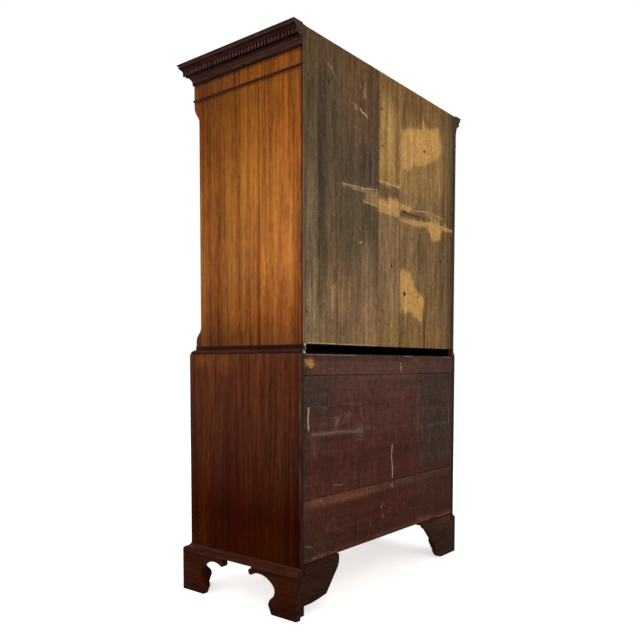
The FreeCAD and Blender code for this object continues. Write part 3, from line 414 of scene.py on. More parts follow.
def rear_foot_tone(gain):
    """The rear foot boards' stain: the near one darker and redder, the left one paler along its top."""
    def tone(s):
        body = s.mix(s.smooth(s.x, -0.1, 0.1), (54, 35, 25), (50, 29, 20))
        top = s.smooth(s.z, 0.1, 0.16) * s.smooth(s.x, -0.33, -0.4)
        return s.scale(s.mix(top, body, (66, 40, 27)), gain)
    return tone


def front_edge(s, body):
    """Mahogany on the lower top's front edge."""
    return s.mix(s.smooth(s.y, (LOWER_FRONT + 1.0) / 1000, (LOWER_FRONT + 0.5) / 1000), body, (104, 50, 26))


# Painted shade and highlight by height, as (z, grey) stops: darker in the hollows and under the projecting members,
# lighter on the lit members.
CORNICE_SHADE_AND_HIGHLIGHT = [
    (1762, 110), (1764, 150), (1766, 200), (1767.5, 150), (1772, 236), (1776, 210), (1779, 185), (1783, 232),
    (1788, 160), (1791, 85), (1807, 90), (1809, 160), (1813, 175), (1816, 90), (1818, 80), (1820, 215), (1823, 242),
    (1826, 225), (1828.5, 100), (1830, 110)]
WAIST_SHADE_AND_HIGHLIGHT = [(838, 110), (841, 190), (848, 250), (853, 170), (855, 130), (858, 215), (864, 240), (866, 170),
                (1700, 255)]
CORNICE = ((74, 43, 35), (56, 29, 23))
CORNICE_DUST_AND_SHADE = ((60, 42, 36), 0.25, CORNICE_SHADE_AND_HIGHLIGHT)
ROUGH = {"rough": (0.75, 0.9), "specular": 0.02}
PINE = {"contrast": 0.35, "rough": (0.6, 0.75), "specular": 0.2, "pore": 0.05, "across": 60.0, "along": 1.5}
WOODS = {
    "upper_side": upper_side_material(),
    "lower_side": lower_side_material(),
    "cornice": moulding_material("cornice_mahogany", *CORNICE, 1, 2.0, *CORNICE_DUST_AND_SHADE, (62, 50, 36)),
    "cornice_front": moulding_material("cornice_front_mahogany", *CORNICE, 0, 2.0, *CORNICE_DUST_AND_SHADE),
    "dentils": wood("dentil_mahogany", 2, 6.0, (78, 46, 38), (60, 34, 28), contrast=0.6, specular=0.02,
                    shade=dentil_gap_shade, rear=(54, 43, 32)),
    "waist": moulding_material("waist_mahogany", (74, 38, 26), (56, 26, 17), 1, 5.0, heights=WAIST_SHADE_AND_HIGHLIGHT),
    "base": moulding_material("base_mahogany", (68, 33, 20), (50, 22, 13), 1, 9.0, (72, 40, 28), 0.2),
    "bracket": wood("bracket_mahogany", 1, 15.0, (56, 24, 8), (42, 14, 4), contrast=0.6, specular=0.01,
                    rear=(42, 27, 19)),
    "rear_board": wood("rear_board_pine", 0, 19.0, rear_foot_tone(1.25), rear_foot_tone(0.8), contrast=0.6,
                       rough=(0.7, 0.85), specular=0.02, across=90.0),
    "block": wood("block_pine", 2, 23.0, (56, 42, 32), (36, 27, 22), across=90.0, **ROUGH),
    # Dark pine for the lower top and upper bottom: stain, kept dark as painted shade in the gap between the chests.
    "stain_and_gap_shade": wood("pine_stain_and_gap_shade_across", 0, 43.0, (76, 56, 44), (56, 42, 34), across=60.0, shade=front_edge,
                    **ROUGH),
    "top": wood("dusty_pine_across", 0, 45.0, (116, 94, 68), (92, 73, 52), rough=(0.75, 0.9), specular=0.03,
                across=60.0),
    "pine_x": wood("carcass_pine_across", 0, 27.0, (186, 147, 98), (160, 120, 76), **PINE),
    "pine_y": wood("carcass_pine_deep", 1, 29.0, (180, 140, 92), (152, 112, 70), **PINE),
    "oak": wood("drawer_oak", 1, 33.0, (178, 138, 92), (150, 110, 70), contrast=0.4, rough=(0.5, 0.65),
                specular=0.25, pore=0.35, across=120.0, along=3.0),
    "rail": wood("rail_mahogany", 0, 37.0, (112, 58, 30), (86, 40, 20), rough=(0.35, 0.5), specular=0.08),
    "upper_front": front_material("upper_front_veneer", 4.0, (150, 84, 38), (96, 44, 20)),
    "lower_front": front_material("lower_front_veneer", 9.0, (118, 58, 28), (66, 27, 14)),
}
BRASS = brass_material()


# ---------------------------------------------------------------- mesh helpers
def arc_points(a, b, c, step=0.12):
    """Points after a on the arc from a through b to c, about step radians apart."""
    a, b, c = (complex(*p) for p in (a, b, c))
    ratio = (c - a) / (b - a)
    centre = a - (a - b) * (ratio - abs(ratio) ** 2) / 2j / ratio.imag
    start, middle, end = (cmath.phase(p - centre) for p in (a, b, c))
    turn = (end - start) % math.tau
    if (middle - start) % math.tau > turn:
        turn -= math.tau
    count = max(3, round(abs(turn) / step))
    points = [centre + (a - centre) * cmath.exp(1j * turn * i / count) for i in range(1, count + 1)]
    return [(p.real, p.imag) for p in points]


def curve(shares, start, end):
    """Steps of an outline, from shares of the way between two corners."""
    def place(share):
        return tuple(low + part * (high - low) for part, low, high in zip(share, start, end))

    return [tuple(place(p) for p in step) if isinstance(step[0], tuple) else place(step) for step in shares]


def outline(start, steps):
    points = [start]
    for step in steps:
        points += arc_points(points[-1], *step) if isinstance(step[0], tuple) else [step]
    return points


def eased(points, radius):
    """The outline with its sharp corners taken off."""
    result = []
    for before, here, after in zip(points[-1:] + points[:-1], points, points[1:] + points[:1]):
        a, b, c = Vector(before), Vector(here), Vector(after)
        first, second = a - b, c - b
        if first.length < 1e-6 or second.length < 1e-6:
            continue
        if math.pi - first.angle(second) < 0.5:
            result.append(here)
            continue
        reach = min(radius, first.length * 0.4, second.length * 0.4)
        first.normalize()
        second.normalize()
        result += [tuple(b + way * reach) for way in (first, (first + second) * 0.3, second)]
    return result


class Shell:
    """Vertices and faces of one piece, gathered from closed parts."""

    def __init__(self):
        self.points, self.faces = [], []

    def add(self, points, faces):
        first = len(self.points)
        self.points += [tuple(p) for p in points]
        self.faces += [[index + first for index in face] for face in faces]

    def loft(self, rings, capped=True):
        """Faces between rings of as many points each. Without caps the last ring joins the first."""
        count, size = len(rings), len(rings[0])
        faces = []
        for i in range(count - 1 if capped else count):
            low, high = i * size, (i + 1) % count * size
            faces += [[low + j, low + (j + 1) % size, high + (j + 1) % size, high + j] for j in range(size)]
        if capped:
            faces += [list(range(size))[::-1], list(range((count - 1) * size, count * size))]
        self.add([p for ring in rings for p in ring], faces)

    def box(self, x0, x1, y0, y1, z0, z1):
        self.loft([[(x0, y0, z), (x1, y0, z), (x1, y1, z), (x0, y1, z)] for z in (z0, z1)])


def put(name, data):
    """A new object in the scene."""
    obj = bpy.data.objects.new(name, data)
    bpy.context.scene.collection.objects.link(obj)
    return obj


BODY_OF = {node: body for body, nodes in frame["record"]["behaviour"]["bodies"].items() for node in nodes}


def piece(name, shell, material, node, bevel=0.0, fields=None, smooth=0.6):
    """A piece that stands for a CAD node and rides on its body. bevel eases its sharp edges, in mm."""
    mesh = bpy.data.meshes.new(name)
    mesh.from_pydata([tuple(c / 1000 for c in p) for p in shell.points], [], shell.faces)
    for key, values in (fields or {}).items():
        kind, channel = ("FLOAT_COLOR", "color") if values.ndim == 2 else ("FLOAT", "value")
        layer = mesh.attributes.new(key, kind, "POINT")
        layer.data.foreach_set(channel, values.astype(np.float32).ravel())
    bm = bmesh.new()
    bm.from_mesh(mesh)
    bmesh.ops.recalc_face_normals(bm, faces=bm.faces)
    if bevel:
        sharp = [e for e in bm.edges if e.is_manifold and e.calc_face_angle(0.0) > 0.6]
        bmesh.ops.bevel(bm, geom=sharp, offset=bevel / 1000, segments=2, profile=0.6, affect="EDGES",
                        clamp_overlap=True)
    bm.to_mesh(mesh)
    bm.free()
    mesh.shade_smooth()
    mesh.set_sharp_from_angle(angle=smooth)
    mesh.materials.append(material)
    obj = put(name, mesh)
    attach(obj, BODY_OF[node])
    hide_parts(node)


# ---------------------------------------------------------------- mouldings
def mouldings():
    base = outline((0.0, FOOT_TOP), [(BASE_PROJECTION, FOOT_TOP)]
                   + curve(BASE_CURVE, (0.0, FOOT_TOP), (BASE_PROJECTION, FOOT_TOP + BASE_HEIGHT))
                   + [(0.0, FOOT_TOP + BASE_HEIGHT)])
    inner, inner_front = UPPER_X + LIFT_CLEARANCE, UPPER_FRONT - LIFT_CLEARANCE
    width = LOWER_X - WAIST_SETBACK - inner
    front_width = inner_front - LOWER_FRONT - WAIST_SETBACK
    waist_top = LOWER_TOP + WAIST_HEIGHT
    waist = outline((0.0, LOWER_TOP), [(width, LOWER_TOP)]
                    + curve(WAIST_CURVE, (0.0, LOWER_TOP), (width, waist_top)) + [(0.0, waist_top)])
    foot = waist_top + LIFT_CLEARANCE
    bead = [(0.0, foot), (1.5, foot), (1.5, foot + 10.0), (0.0, foot + 11.5)]
    low, tall, proud = ASTRAGAL
    astragal = outline((0.0, low), [((proud, low + tall / 2), (0.0, low + tall))])
    cove_foot, cove_top = (4.5, CORNICE_Z + 5.0), (DENTIL_BED, CORNICE_Z + 30.0)
    fascia, dentil_top = 29.5, CORNICE_Z + DENTIL_TOP
    crown_foot = (fascia + 3.0, CORNICE_Z + 52.0)
    crown = outline((0.0, CORNICE_Z), [
        (2.49, CORNICE_Z), ((4.2, CORNICE_Z + 2.4), (2.8, CORNICE_Z + 5.0)), cove_foot,
        *curve((((0.24, 0.616), (1.0, 1.0)),), cove_foot, cove_top),
        (DENTIL_BED, dentil_top), (fascia, dentil_top), (fascia, dentil_top + 5.0), (fascia + 3.0, dentil_top + 5.0),
        crown_foot, *curve((((0.43, 0.2), (0.53, 0.51)), ((0.65, 0.83), (1.0, 1.0))), crown_foot,
                           (CORNICE_OUT, TOP - 3.0)),
        (CORNICE_OUT, TOP), (0.0, TOP)])
    for node, profiles, half, front, stretch, sides_wood, front_wood in (
            ("base_moulding", [base], LOWER_X, LOWER_FRONT, 1.0, "base", "base"),
            ("waist_moulding", [waist], inner, inner_front, front_width / width, "waist", "waist"),
            ("upper_beads", [bead, astragal], UPPER_X, UPPER_FRONT, 1.0, "waist", "waist"),
            ("cornice", [crown], UPPER_X, UPPER_FRONT, 1.0, "cornice", "cornice_front")):
        sides, middle = Shell(), Shell()
        for profile in profiles:
            profile = eased(profile, 0.6)
            rears, mitres = ([[(side * (half + out), y - out * reach, z) for out, z in profile] for side in (-1, 1)]
                             for y, reach in ((BACK, 0.0), (front, stretch)))
            sides.loft([rears[0], mitres[0]])
            sides.loft([mitres[1], rears[1]])
            middle.loft(mitres)
        piece(node + "_sides", sides, WOODS[sides_wood], node, smooth=0.45)
        piece(node + "_front", middle, WOODS[front_wood], node, smooth=0.45)


def dentil_strip(length, mitres):
    """Plan outline of a dentil strip along u, standing out along v."""
    count = round((length - DENTIL_WIDTH) / DENTIL_PITCH)
    pitch = (length - DENTIL_WIDTH) / count
    out = DENTIL_STRIP + DENTIL_PROUD
    points = []
    for index in range(count + 1):
        u = index * pitch
        points += [(u, DENTIL_STRIP), (u, out), (u + DENTIL_WIDTH, out), (u + DENTIL_WIDTH, DENTIL_STRIP)]
    points[0] = (mitres[0] * out, 0.0)
    points[-1] = (length - mitres[1] * out, 0.0)
    return points


def dentils():
    z0, z1 = CORNICE_Z + DENTIL_TOP - DENTIL_HEIGHT, CORNICE_Z + DENTIL_TOP
    out = DENTIL_STRIP + DENTIL_PROUD
    bed_x, bed_front = UPPER_X + DENTIL_BED, UPPER_FRONT - DENTIL_BED
    strips = [[(u - bed_x - out, bed_front - v) for u, v in dentil_strip(2 * (bed_x + out), (1, 1))]]
    strips += [[(side * (bed_x + v), BACK - u) for u, v in dentil_strip(BACK - bed_front + out, (0, 1))]
               for side in (-1, 1)]
    shell = Shell()
    for strip in strips:
        shell.loft([[(x, y, z) for x, y in strip] for z in (z0, z1)])
    piece("dentils", shell, WOODS["dentils"], "cornice_dentils", bevel=0.5)


# ---------------------------------------------------------------- bracket feet
def cut_by(rings, corner, normal):
    """The points and faces of lofted rings on the inner side of an upright plane."""
    shell = Shell()
    shell.loft(rings)
    bm = bmesh.new()
    vertices = [bm.verts.new(p) for p in shell.points]
    for face in shell.faces:
        bm.faces.new([vertices[i] for i in face])
    bmesh.ops.recalc_face_normals(bm, faces=bm.faces)
    result = bmesh.ops.bisect_plane(bm, geom=[*bm.verts, *bm.edges, *bm.faces], plane_co=corner, plane_no=normal,
                                    clear_outer=True)
    bmesh.ops.edgenet_fill(bm, edges=[g for g in result["geom_cut"] if isinstance(g, bmesh.types.BMEdge)])
    bm.verts.index_update()
    cut = [tuple(v.co) for v in bm.verts], [[v.index for v in f.verts] for f in bm.faces]
    bm.free()
    return cut


def feet():
    outer_x, outer_y, rear_y = LOWER_X + BASE_PROJECTION, LOWER_FRONT - BASE_PROJECTION, BACK - REAR_BOARD
    inner_x, inner_y = outer_x - BRACKET_BOARD, outer_y + BRACKET_BOARD
    glue_low, run, step_in = FOOT_TOP - GLUE_BLOCK, FOOT_WIDTH + GLUE_REACH, BASE_PROJECTION + SIDE_BOARD
    bracket = eased(outline((0.0, 0.0), curve(BRACKET_CURVE, (0.0, 0.0), (FOOT_WIDTH, FOOT_TOP))), 0.8)
    front, front_blocks, rear, boards, blocks = (Shell() for _ in range(5))
    for side in (-1, 1):
        def beside(y, way):
            return [[(side * x, y + way * u, z) for u, z in bracket] for x in (outer_x, inner_x)]

        corner = (side * outer_x, outer_y, 0.0)
        front.add(*cut_by(beside(outer_y, 1), corner, (-side, -1.0, 0.0)))
        front.add(*cut_by([[(side * (outer_x - u), y, z) for u, z in bracket] for y in (outer_y, inner_y)], corner,
                          (side, 1.0, 0.0)))
        rear.loft(beside(BACK, -1))
        steps = curve(REAR_CURVES[side], (0.0, 0.0), (REAR_LENGTH, REAR_TOP))
        board = outline((BRACKET_BOARD, FOOT_TOP), [(BRACKET_BOARD, steps[0][1])] + steps
                        + [(step_in, REAR_TOP), (step_in, FOOT_TOP)])
        boards.loft([[(side * (outer_x - u), y, z) for u, z in board] for y in (BACK, rear_y)])
        for shell, x0, x1, y0, y1, z0, z1 in (
                (front_blocks, inner_x - CORNER_BLOCK, inner_x, inner_y, inner_y + CORNER_BLOCK, 0.0, glue_low),
                (front_blocks, inner_x - GLUE_BLOCK, inner_x, inner_y + GLUE_BLOCK, outer_y + run, glue_low, FOOT_TOP),
                (front_blocks, outer_x - run, inner_x, inner_y, inner_y + GLUE_BLOCK, glue_low, FOOT_TOP),
                (blocks, inner_x - CORNER_BLOCK, inner_x, rear_y - CORNER_BLOCK, rear_y, 0.0, glue_low),
                (blocks, inner_x - GLUE_BLOCK, inner_x, BACK - run, rear_y, glue_low, FOOT_TOP)):
            shell.box(*sorted((side * x0, side * x1)), y0, y1, z0, z1)
    for name, shell, slot, tone, node, bevel in (
            ("front_brackets", front, "moulding_mahogany", "bracket", "front_feet", 0.8),
            ("front_foot_blocks", front_blocks, "stained_pine", "block", "front_feet", 1.2),
            ("rear_brackets", rear, "moulding_mahogany", "bracket", "rear_feet", 0.8),
            ("rear_foot_boards", boards, "stained_pine", "rear_board", "rear_feet", 1.4),
            ("rear_foot_blocks", blocks, "stained_pine", "block", "rear_feet", 1.2)):
        piece(name, shell, WOODS[tone], node, bevel)


# ---------------------------------------------------------------- backboards
def ease(value, low, high):
    share = np.clip((value - low) / (high - low), 0, 1)
    return share * share * (3 - 2 * share)


def between(value, low, high, blur):
    return ease(value, low - blur, low + blur) * (1 - ease(value, high - blur, high + blur))


def paint(x, z, base, areas):
    """An sRGB tone at each point, returned linear. Areas are (mask, rows) with rows of (x0, x1, z0, z1, blur_x,
    blur_z, share, colour), or (z0, z1, blur_z, share, colour). A side at -600, 600, 0 or 2200 is open."""
    tone = np.tile(np.array(base, float), (len(x), 1))
    for mask, rows in areas:
        for *box, strength, colour in rows:
            x0, x1, z0, z1, blur_x, blur_z = box if len(box) > 3 else (-600, 600, box[0], box[1], 1, box[2])
            share = (mask * strength * between(x, x0, x1, blur_x) * between(z, z0, z1, blur_z))[:, None]
            tone = tone * (1 - share) + np.array(colour, float) * share
    scaled = tone / 255
    line = np.where(scaled <= 0.04045, scaled / 12.92, ((scaled + 0.055) / 1.055) ** 2.4)
    return np.hstack([line, np.ones((len(x), 1))])


def segment_distance(x, z, a, b):
    ax, az = a
    dx, dz = b[0] - ax, b[1] - az
    share = np.clip(((x - ax) * dx + (z - az) * dz) / max(dx * dx + dz * dz, 1e-9), 0, 1)
    return np.hypot(x - ax - share * dx, z - az - share * dz)


def spans(places):
    """Pairs of ends along a line of x, z, x, z and so on."""
    points = list(zip(places[::2], places[1::2]))
    return list(zip(points, points[1:]))


def patch_field(x, z, polygons, lines=(), spots=()):
    """Distance in metres into the nearest mark, negative outside: polygons of (x, z) points, (width, x, z, ...)
    lines and (x, z, half width, half height) ellipses."""
    best = np.full(x.shape, -60.0)
    for points in polygons:
        distance, inside = np.full(x.shape, 1e9), np.zeros(x.shape, bool)
        for a, b in zip(points, points[1:] + points[:1]):
            distance = np.minimum(distance, segment_distance(x, z, a, b))
            level = a[0] + (z - a[1]) * (b[0] - a[0]) / ((b[1] - a[1]) or 1e-9)
            inside ^= ((a[1] > z) != (b[1] > z)) & (x < level)
        best = np.maximum(best, np.where(inside, distance, -distance))
    for width, *places in lines:
        for a, b in spans(places):
            best = np.maximum(best, width / 2 - segment_distance(x, z, a, b))
    for cx, cz, rx, rz in spots:
        best = np.maximum(best, (1 - np.hypot((x - cx) / rx, (z - cz) / rz)) * min(rx, rz))
    return best / 1000


def chips(x, z, width, height, count, seed, share=0.6):
    """Short scratches in all directions round a place."""
    strokes = []
    for u, v, angle, reach in np.random.default_rng(seed).uniform((-1, -1, 0, 3), (1, 1, math.pi, 8), (count, 4)):
        cx, cz, du, dv = x + u * width, z + v * height, reach * math.cos(angle), reach * math.sin(angle)
        strokes.append((3.0, share, cx - du, cz - dv, cx + du, cz + dv))
    return strokes


def scratch_fields(x, z, scratches, knocks):
    """Place across the nearest scratch in half widths, metres inside its reach, and its share of cover.
    A scratch is (width, share, x, z, ...), and a knock is a row for chips."""
    nearest = np.full(x.shape, 1e9)
    across, along, cover = np.full(x.shape, 9.0), np.full(x.shape, -0.1), np.zeros(x.shape)
    for width, share, *places in scratches + [stroke for row in knocks for stroke in chips(*row)]:
        parts = spans(places)
        for index, (a, b) in enumerate(parts):
            dx, dz = b[0] - a[0], b[1] - a[1]
            length = math.hypot(dx, dz)
            run = ((x - a[0]) * dx + (z - a[1]) * dz) / length
            off = ((x - a[0]) * dz - (z - a[1]) * dx) / length
            distance = segment_distance(x, z, a, b)
            closer = distance < nearest
            nearest = np.where(closer, distance, nearest)
            across = np.where(closer, off * 2 / width, across)
            inside = np.minimum(run if index == 0 else 99.0, length - run if index == len(parts) - 1 else 99.0)
            along = np.where(closer, np.minimum(inside, 10.0 - distance) / 1000, along)
            cover = np.where(closer, share, cover)
    return {"across": across, "along": along, "cover": cover}


def board_grid(shell, x0, x1, z0, z1, step, wave, left=lambda z: 0.0, right=lambda z: 0.0):
    """One backboard: a fine grid on its outer face, eased edges, and its inner face. wave is the outer face's
    relief, and left and right are how far the edges stand back."""
    columns, rows = max(2, round((x1 - x0) / step)), max(2, round((z1 - z0) / step))

    def place(i, j, inset, y):
        z = z0 + inset + (z1 - z0 - 2 * inset) * j / rows
        low, high = x0 + inset + left(z), x1 - inset - right(z)
        return low + (high - low) * i / columns, y, z

    face = [place(i, j, BOARD_EDGE, BACK) for j in range(rows + 1) for i in range(columns + 1)]
    points = [(x, y - wave(x, z), z) for x, y, z in face]
    wide = columns + 1
    faces = [[k, k + 1, k + wide + 1, k + wide] for j in range(rows) for k in range(j * wide, j * wide + columns)]
    around = ([(i, 0) for i in range(columns)] + [(columns, j) for j in range(rows)]
              + [(i, rows) for i in range(columns, 0, -1)] + [(0, j) for j in range(rows, 0, -1)])
    rim, size = [j * wide + i for i, j in around], len(around)
    for y in (BACK - BOARD_EDGE_DEPTH, BACK - BACK_BOARD):
        start = len(points)
        points += [place(i, j, 0.0, y) for i, j in around]
        faces += [[rim[k], rim[(k + 1) % size], start + (k + 1) % size, start + k] for k in range(size)]
        rim = list(range(start, start + size))
    shell.add(points, faces + [rim[::-1]])


def back(name, shell, material, base, areas, bare, rubbed, dark, scratches, knocks):
    """A back's piece with its tone, scratches and marks. bare, rubbed and dark are what patch_field takes."""
    x, _, z = np.array(shell.points).T
    marks = {key: patch_field(x, z, *mark) for key, mark in (("bare", bare), ("rubbed", rubbed), ("dark", dark))}
    fields = {"stain": paint(x, z, base, areas), **marks, **scratch_fields(x, z, scratches, knocks)}
    piece(name, shell, material, name + "boards", fields=fields)


def upper_back():
    shell = Shell()
    reach = UPPER_X - SIDE_BOARD + BACK_REBATE

    def tight(z):
        return BOARD_GAP

    def opening(z):
        return 0.25 + 2.2 * float(1 - ease(z, 860.0, 1010.0))

    def wave(x, z):
        return 0.35 + 0.25 * math.sin(x / 37.0 + 1.3) + 0.1 * math.sin(z / 90.0 + x / 60.0)

    for x0, x1, left, right in zip((-reach,) + UPPER_JOINTS, UPPER_JOINTS + (reach,),
                                   (tight, opening, tight, tight), (opening, tight, tight, tight)):
        board_grid(shell, x0, x1, UPPER_BOTTOM, CASE_TOP, 5.0, wave, left, right)
    x, _, z = np.array(shell.points).T
    first, rest = x > UPPER_JOINTS[2], x <= UPPER_JOINTS[1]
    knot = np.clip(1.4 - np.hypot((x + 212) / 34, (z - 1235) / 105), 0, 1)
    core = ease(1 - np.hypot((x + 212) / 26, (z - 1235) / 92), 0, 0.3)
    areas = [
        (first, [
            (0, 1100, 140, 0.9, (131, 102, 70)), (0, 910, 50, 0.8, (140, 107, 68)),
            (95, 300, 1560, 1900, 60, 70, 0.7, (104, 76, 51)), (95, 330, 860, 1090, 50, 90, 0.5, (140, 102, 70)),
            (120, 178, 900, 1210, 16, 70, 0.75, (138, 110, 82)), (186, 240, 900, 1350, 14, 90, 0.4, (88, 70, 52)),
            (320, 362, 960, 1400, 16, 90, 0.4, (126, 98, 70)), (384, 416, 1230, 1900, 14, 130, 1, (73, 58, 46)),
            (386, 410, 860, 1230, 12, 60, 0.35, (84, 66, 50)), (432, 600, 0, 2200, 12, 1, 1, (112, 93, 70)),
            (432, 600, 1460, 2200, 12, 180, 1, (84, 68, 48)), (432, 600, 0, 1080, 12, 80, 1, (126, 104, 76)),
            (225, 372, 860, 975, 30, 30, 0.8, (110, 87, 61)), (-600, 100, 1200, 2200, 12, 100, 0.5, (80, 64, 46)),
            (1396, 1640, 40, 0.12, (60, 46, 36))]),
        (~first & ~rest, [
            (0, 2200, 1, 1, (130, 102, 70)), (-24, 36, 868, 1400, 14, 40, 0.5, (146, 116, 78)),
            (1447, 2200, 7, 1, (152, 115, 68)), (-24, 60, 1470, 1760, 22, 60, 0.8, (176, 135, 80)),
            (-600, -34, 1447, 2200, 12, 7, 0.9, (134, 98, 58)), (1770, 2200, 30, 0.6, (136, 102, 62)),
            (-61, 80, 1398, 1450, 3, 3, 0.9, (106, 84, 58)), (0, 990, 110, 0.6, (142, 107, 62))]),
        (rest, [
            (0, 2200, 1, 1, (120, 94, 62)), (1402.5, 2200, 17.5, 1, (138, 106, 64)),
            (-270, -61, 1500, 1800, 30, 60, 0.5, (120, 93, 58)), (-345, -260, 1400, 1600, 20, 40, 0.5, (148, 114, 68)),
            (-410, -330, 1560, 1730, 26, 30, 0.7, (158, 120, 70)), (-420, -50, 1440, 1560, 10, 20, 0.7, (156, 120, 75)),
            (-170, 600, 0, 1435, 20, 15, 0.8, (140, 109, 74)), (-430, -310, 1400, 1480, 30, 30, 0.6, (118, 92, 58))]),
        (rest * knot, [(0, 2200, 1, 0.55, (126, 100, 68))]),
        (rest * core, [(0, 2200, 1, 0.75, (94, 76, 52))]),
        (rest, [
            (0, 1070, 170, 0.6, (130, 98, 60)), (0, 930, 70, 0.7, (134, 100, 56)),
            (-600, -375, 0, 2200, 45, 1, 0.55, (106, 82, 54)), (-600, -436, 0, 2200, 26, 1, 0.8, (92, 71, 48)),
            (-600, -466, 0, 2200, 18, 1, 0.9, (68, 54, 40)), (-300, -64, 1352, 1380, 24, 6, 0.8, (98, 78, 54)),
            (-370, -180, 1370, 1392, 24, 6, 0.5, (142, 108, 66))]),
        (1, [(1740, 2200, 60, 0.35, (92, 62, 32))])]
    bare = [
        [(-69, 1659), (-87, 1670), (-146, 1692), (-189, 1699), (-208, 1708), (-226, 1738), (-239, 1733),
         (-259, 1716), (-311, 1730), (-352, 1744), (-363, 1724), (-366, 1699), (-374, 1674), (-365, 1639),
         (-327, 1611), (-261, 1580), (-223, 1565), (-185, 1556), (-148, 1542), (-137, 1530), (-101, 1522),
         (-77, 1523), (-67, 1551), (-62, 1598), (-64, 1634)],
        [(77, 1390), (-5, 1398), (-58, 1404), (-58, 1347), (11, 1342), (79, 1341)],
        [(-62, 1393), (-109, 1399), (-145, 1395), (-151, 1384), (-127, 1376), (-62, 1373)],
        [(-62, 1345), (-152, 1350), (-201, 1348), (-305, 1375), (-402, 1364), (-474, 1362), (-475, 1348),
         (-388, 1349), (-375, 1326), (-361, 1298), (-314, 1291), (-286, 1320), (-266, 1336), (-152, 1331),
         (-62, 1333)],
        [(-62, 1153), (-88, 1161), (-118, 1158), (-143, 1149), (-155, 1131), (-168, 1120), (-181, 1095),
         (-187, 1083), (-213, 1073), (-245, 1069), (-248, 1030), (-240, 1003), (-227, 970), (-214, 973),
         (-195, 982), (-164, 986), (-157, 999), (-109, 996), (-62, 1000)]]
    rubbed = [
        [(303, 1394), (180, 1407), (82, 1416), (82, 1356), (139, 1353), (179, 1357), (184, 1363), (164, 1371),
         (170, 1387), (194, 1393), (247, 1391), (275, 1390)],
        [(355, 1068), (335, 1062), (333, 1000), (344, 978), (352, 1010)],
        [(-239, 1397), (-345, 1400), (-387, 1390), (-332, 1386), (-239, 1383)]]
    dark_lines = [
        (4, -61, 1330, -62, 868), (2.5, 80, 1826, 80, 868), (9, -247, 968, -249, 900, -250, 866),
        (5, -240, 1004, -247, 968), (6, -83, 1371, -148, 1368, -208, 1370), (3, -208, 1370, -280, 1362),
        (4, -360, 1366, -430, 1364, -479, 1363), (2, -232, 1590, -226, 1560)]
    dark_spots = [
        (369, 1696, 6, 8), (-237, 1625, 8, 6), (61, 1700, 7, 6), (58, 1574, 6, 5), (-99, 1068, 11, 9),
        (-198, 1065, 5, 5), (-138, 1035, 5, 4), (-323, 1156, 5, 4), (-8, 1161, 7, 7), (-374, 1220, 6, 8),
        (17, 1381, 4, 4), (488, 1041, 4, 6), (480, 1010, 3, 4), (484, 985, 4, 4), (262, 1030, 5, 3), (240, 1022, 6, 3),
        (-460, 1150, 8, 4),
        *np.random.default_rng(7).uniform((478, 880, 2, 4), (490, 1340, 5, 11), (30, 4))]
    scratches = [
        (3, 0.6, 375, 1753, 352, 1737, 327, 1715), (2.5, 0.5, 372, 1757, 341, 1745),
        (6, 1.2, 196, 1666, 182, 1654, 157, 1650, 147, 1636), (3, 0.7, 246, 1668, 206, 1668),
        (3, 0.5, -260, 972, -286, 986, -319, 1015, -339, 1036), (4, 0.6, -283, 1131, -324, 1108),
        (3, 0.9, 478, 871, 90, 869.5), (2.5, 0.7, 166, 1760, 160, 1700), (2.5, 0.5, -20, 1790, -8, 1760),
        (2.5, 0.6, 190, 1750, 196, 1720), (5, 0.6, 291, 1395, 222, 1401, 164, 1404, 85, 1415),
        (4, 0.4, 240, 1389, 170, 1394), (5, 0.7, 172, 1359, 84, 1358), (5, 0.6, 78, 1346, -60, 1343),
        (5, 0.9, 76, 1451, -60, 1451), (4, 0.3, 76, 1378, -50, 1376), (5, 0.5, -72, 1391, -150, 1388),
        (6, 0.6, -165, 1386, -230, 1395, -302, 1399, -350, 1396, -397, 1390), (5, 0.6, -73, 1337, -160, 1335),
        (5, 0.5, -150, 1347, -258, 1353, -380, 1358, -480, 1357), (4, 0.5, -270, 1384, -360, 1378)]
    knocks = [
        (214, 1663, 14, 10, 6, 1, 0.9), (193, 1502, 10, 7, 4, 2), (193, 1217, 14, 6, 7, 3, 1.1),
        (150, 1212, 14, 7, 4, 4, 0.9), (-308, 1374, 20, 7, 9, 5, 1.0), (-420, 1362, 50, 6, 8, 6, 0.4)]
    material = board_material("upper_back_pine", (197, 149, 85), (160, 128, 86), (200, 168, 118), 0.5, 2, 41.0)
    back("upper_back", shell, material, (88, 72, 54), areas, (bare, [(8, 78, 1447, 13, 1448, -58, 1452)]),
         (rubbed, [(8, 171, 1784, 168, 1715)]), ([], dark_lines, dark_spots), scratches, knocks)


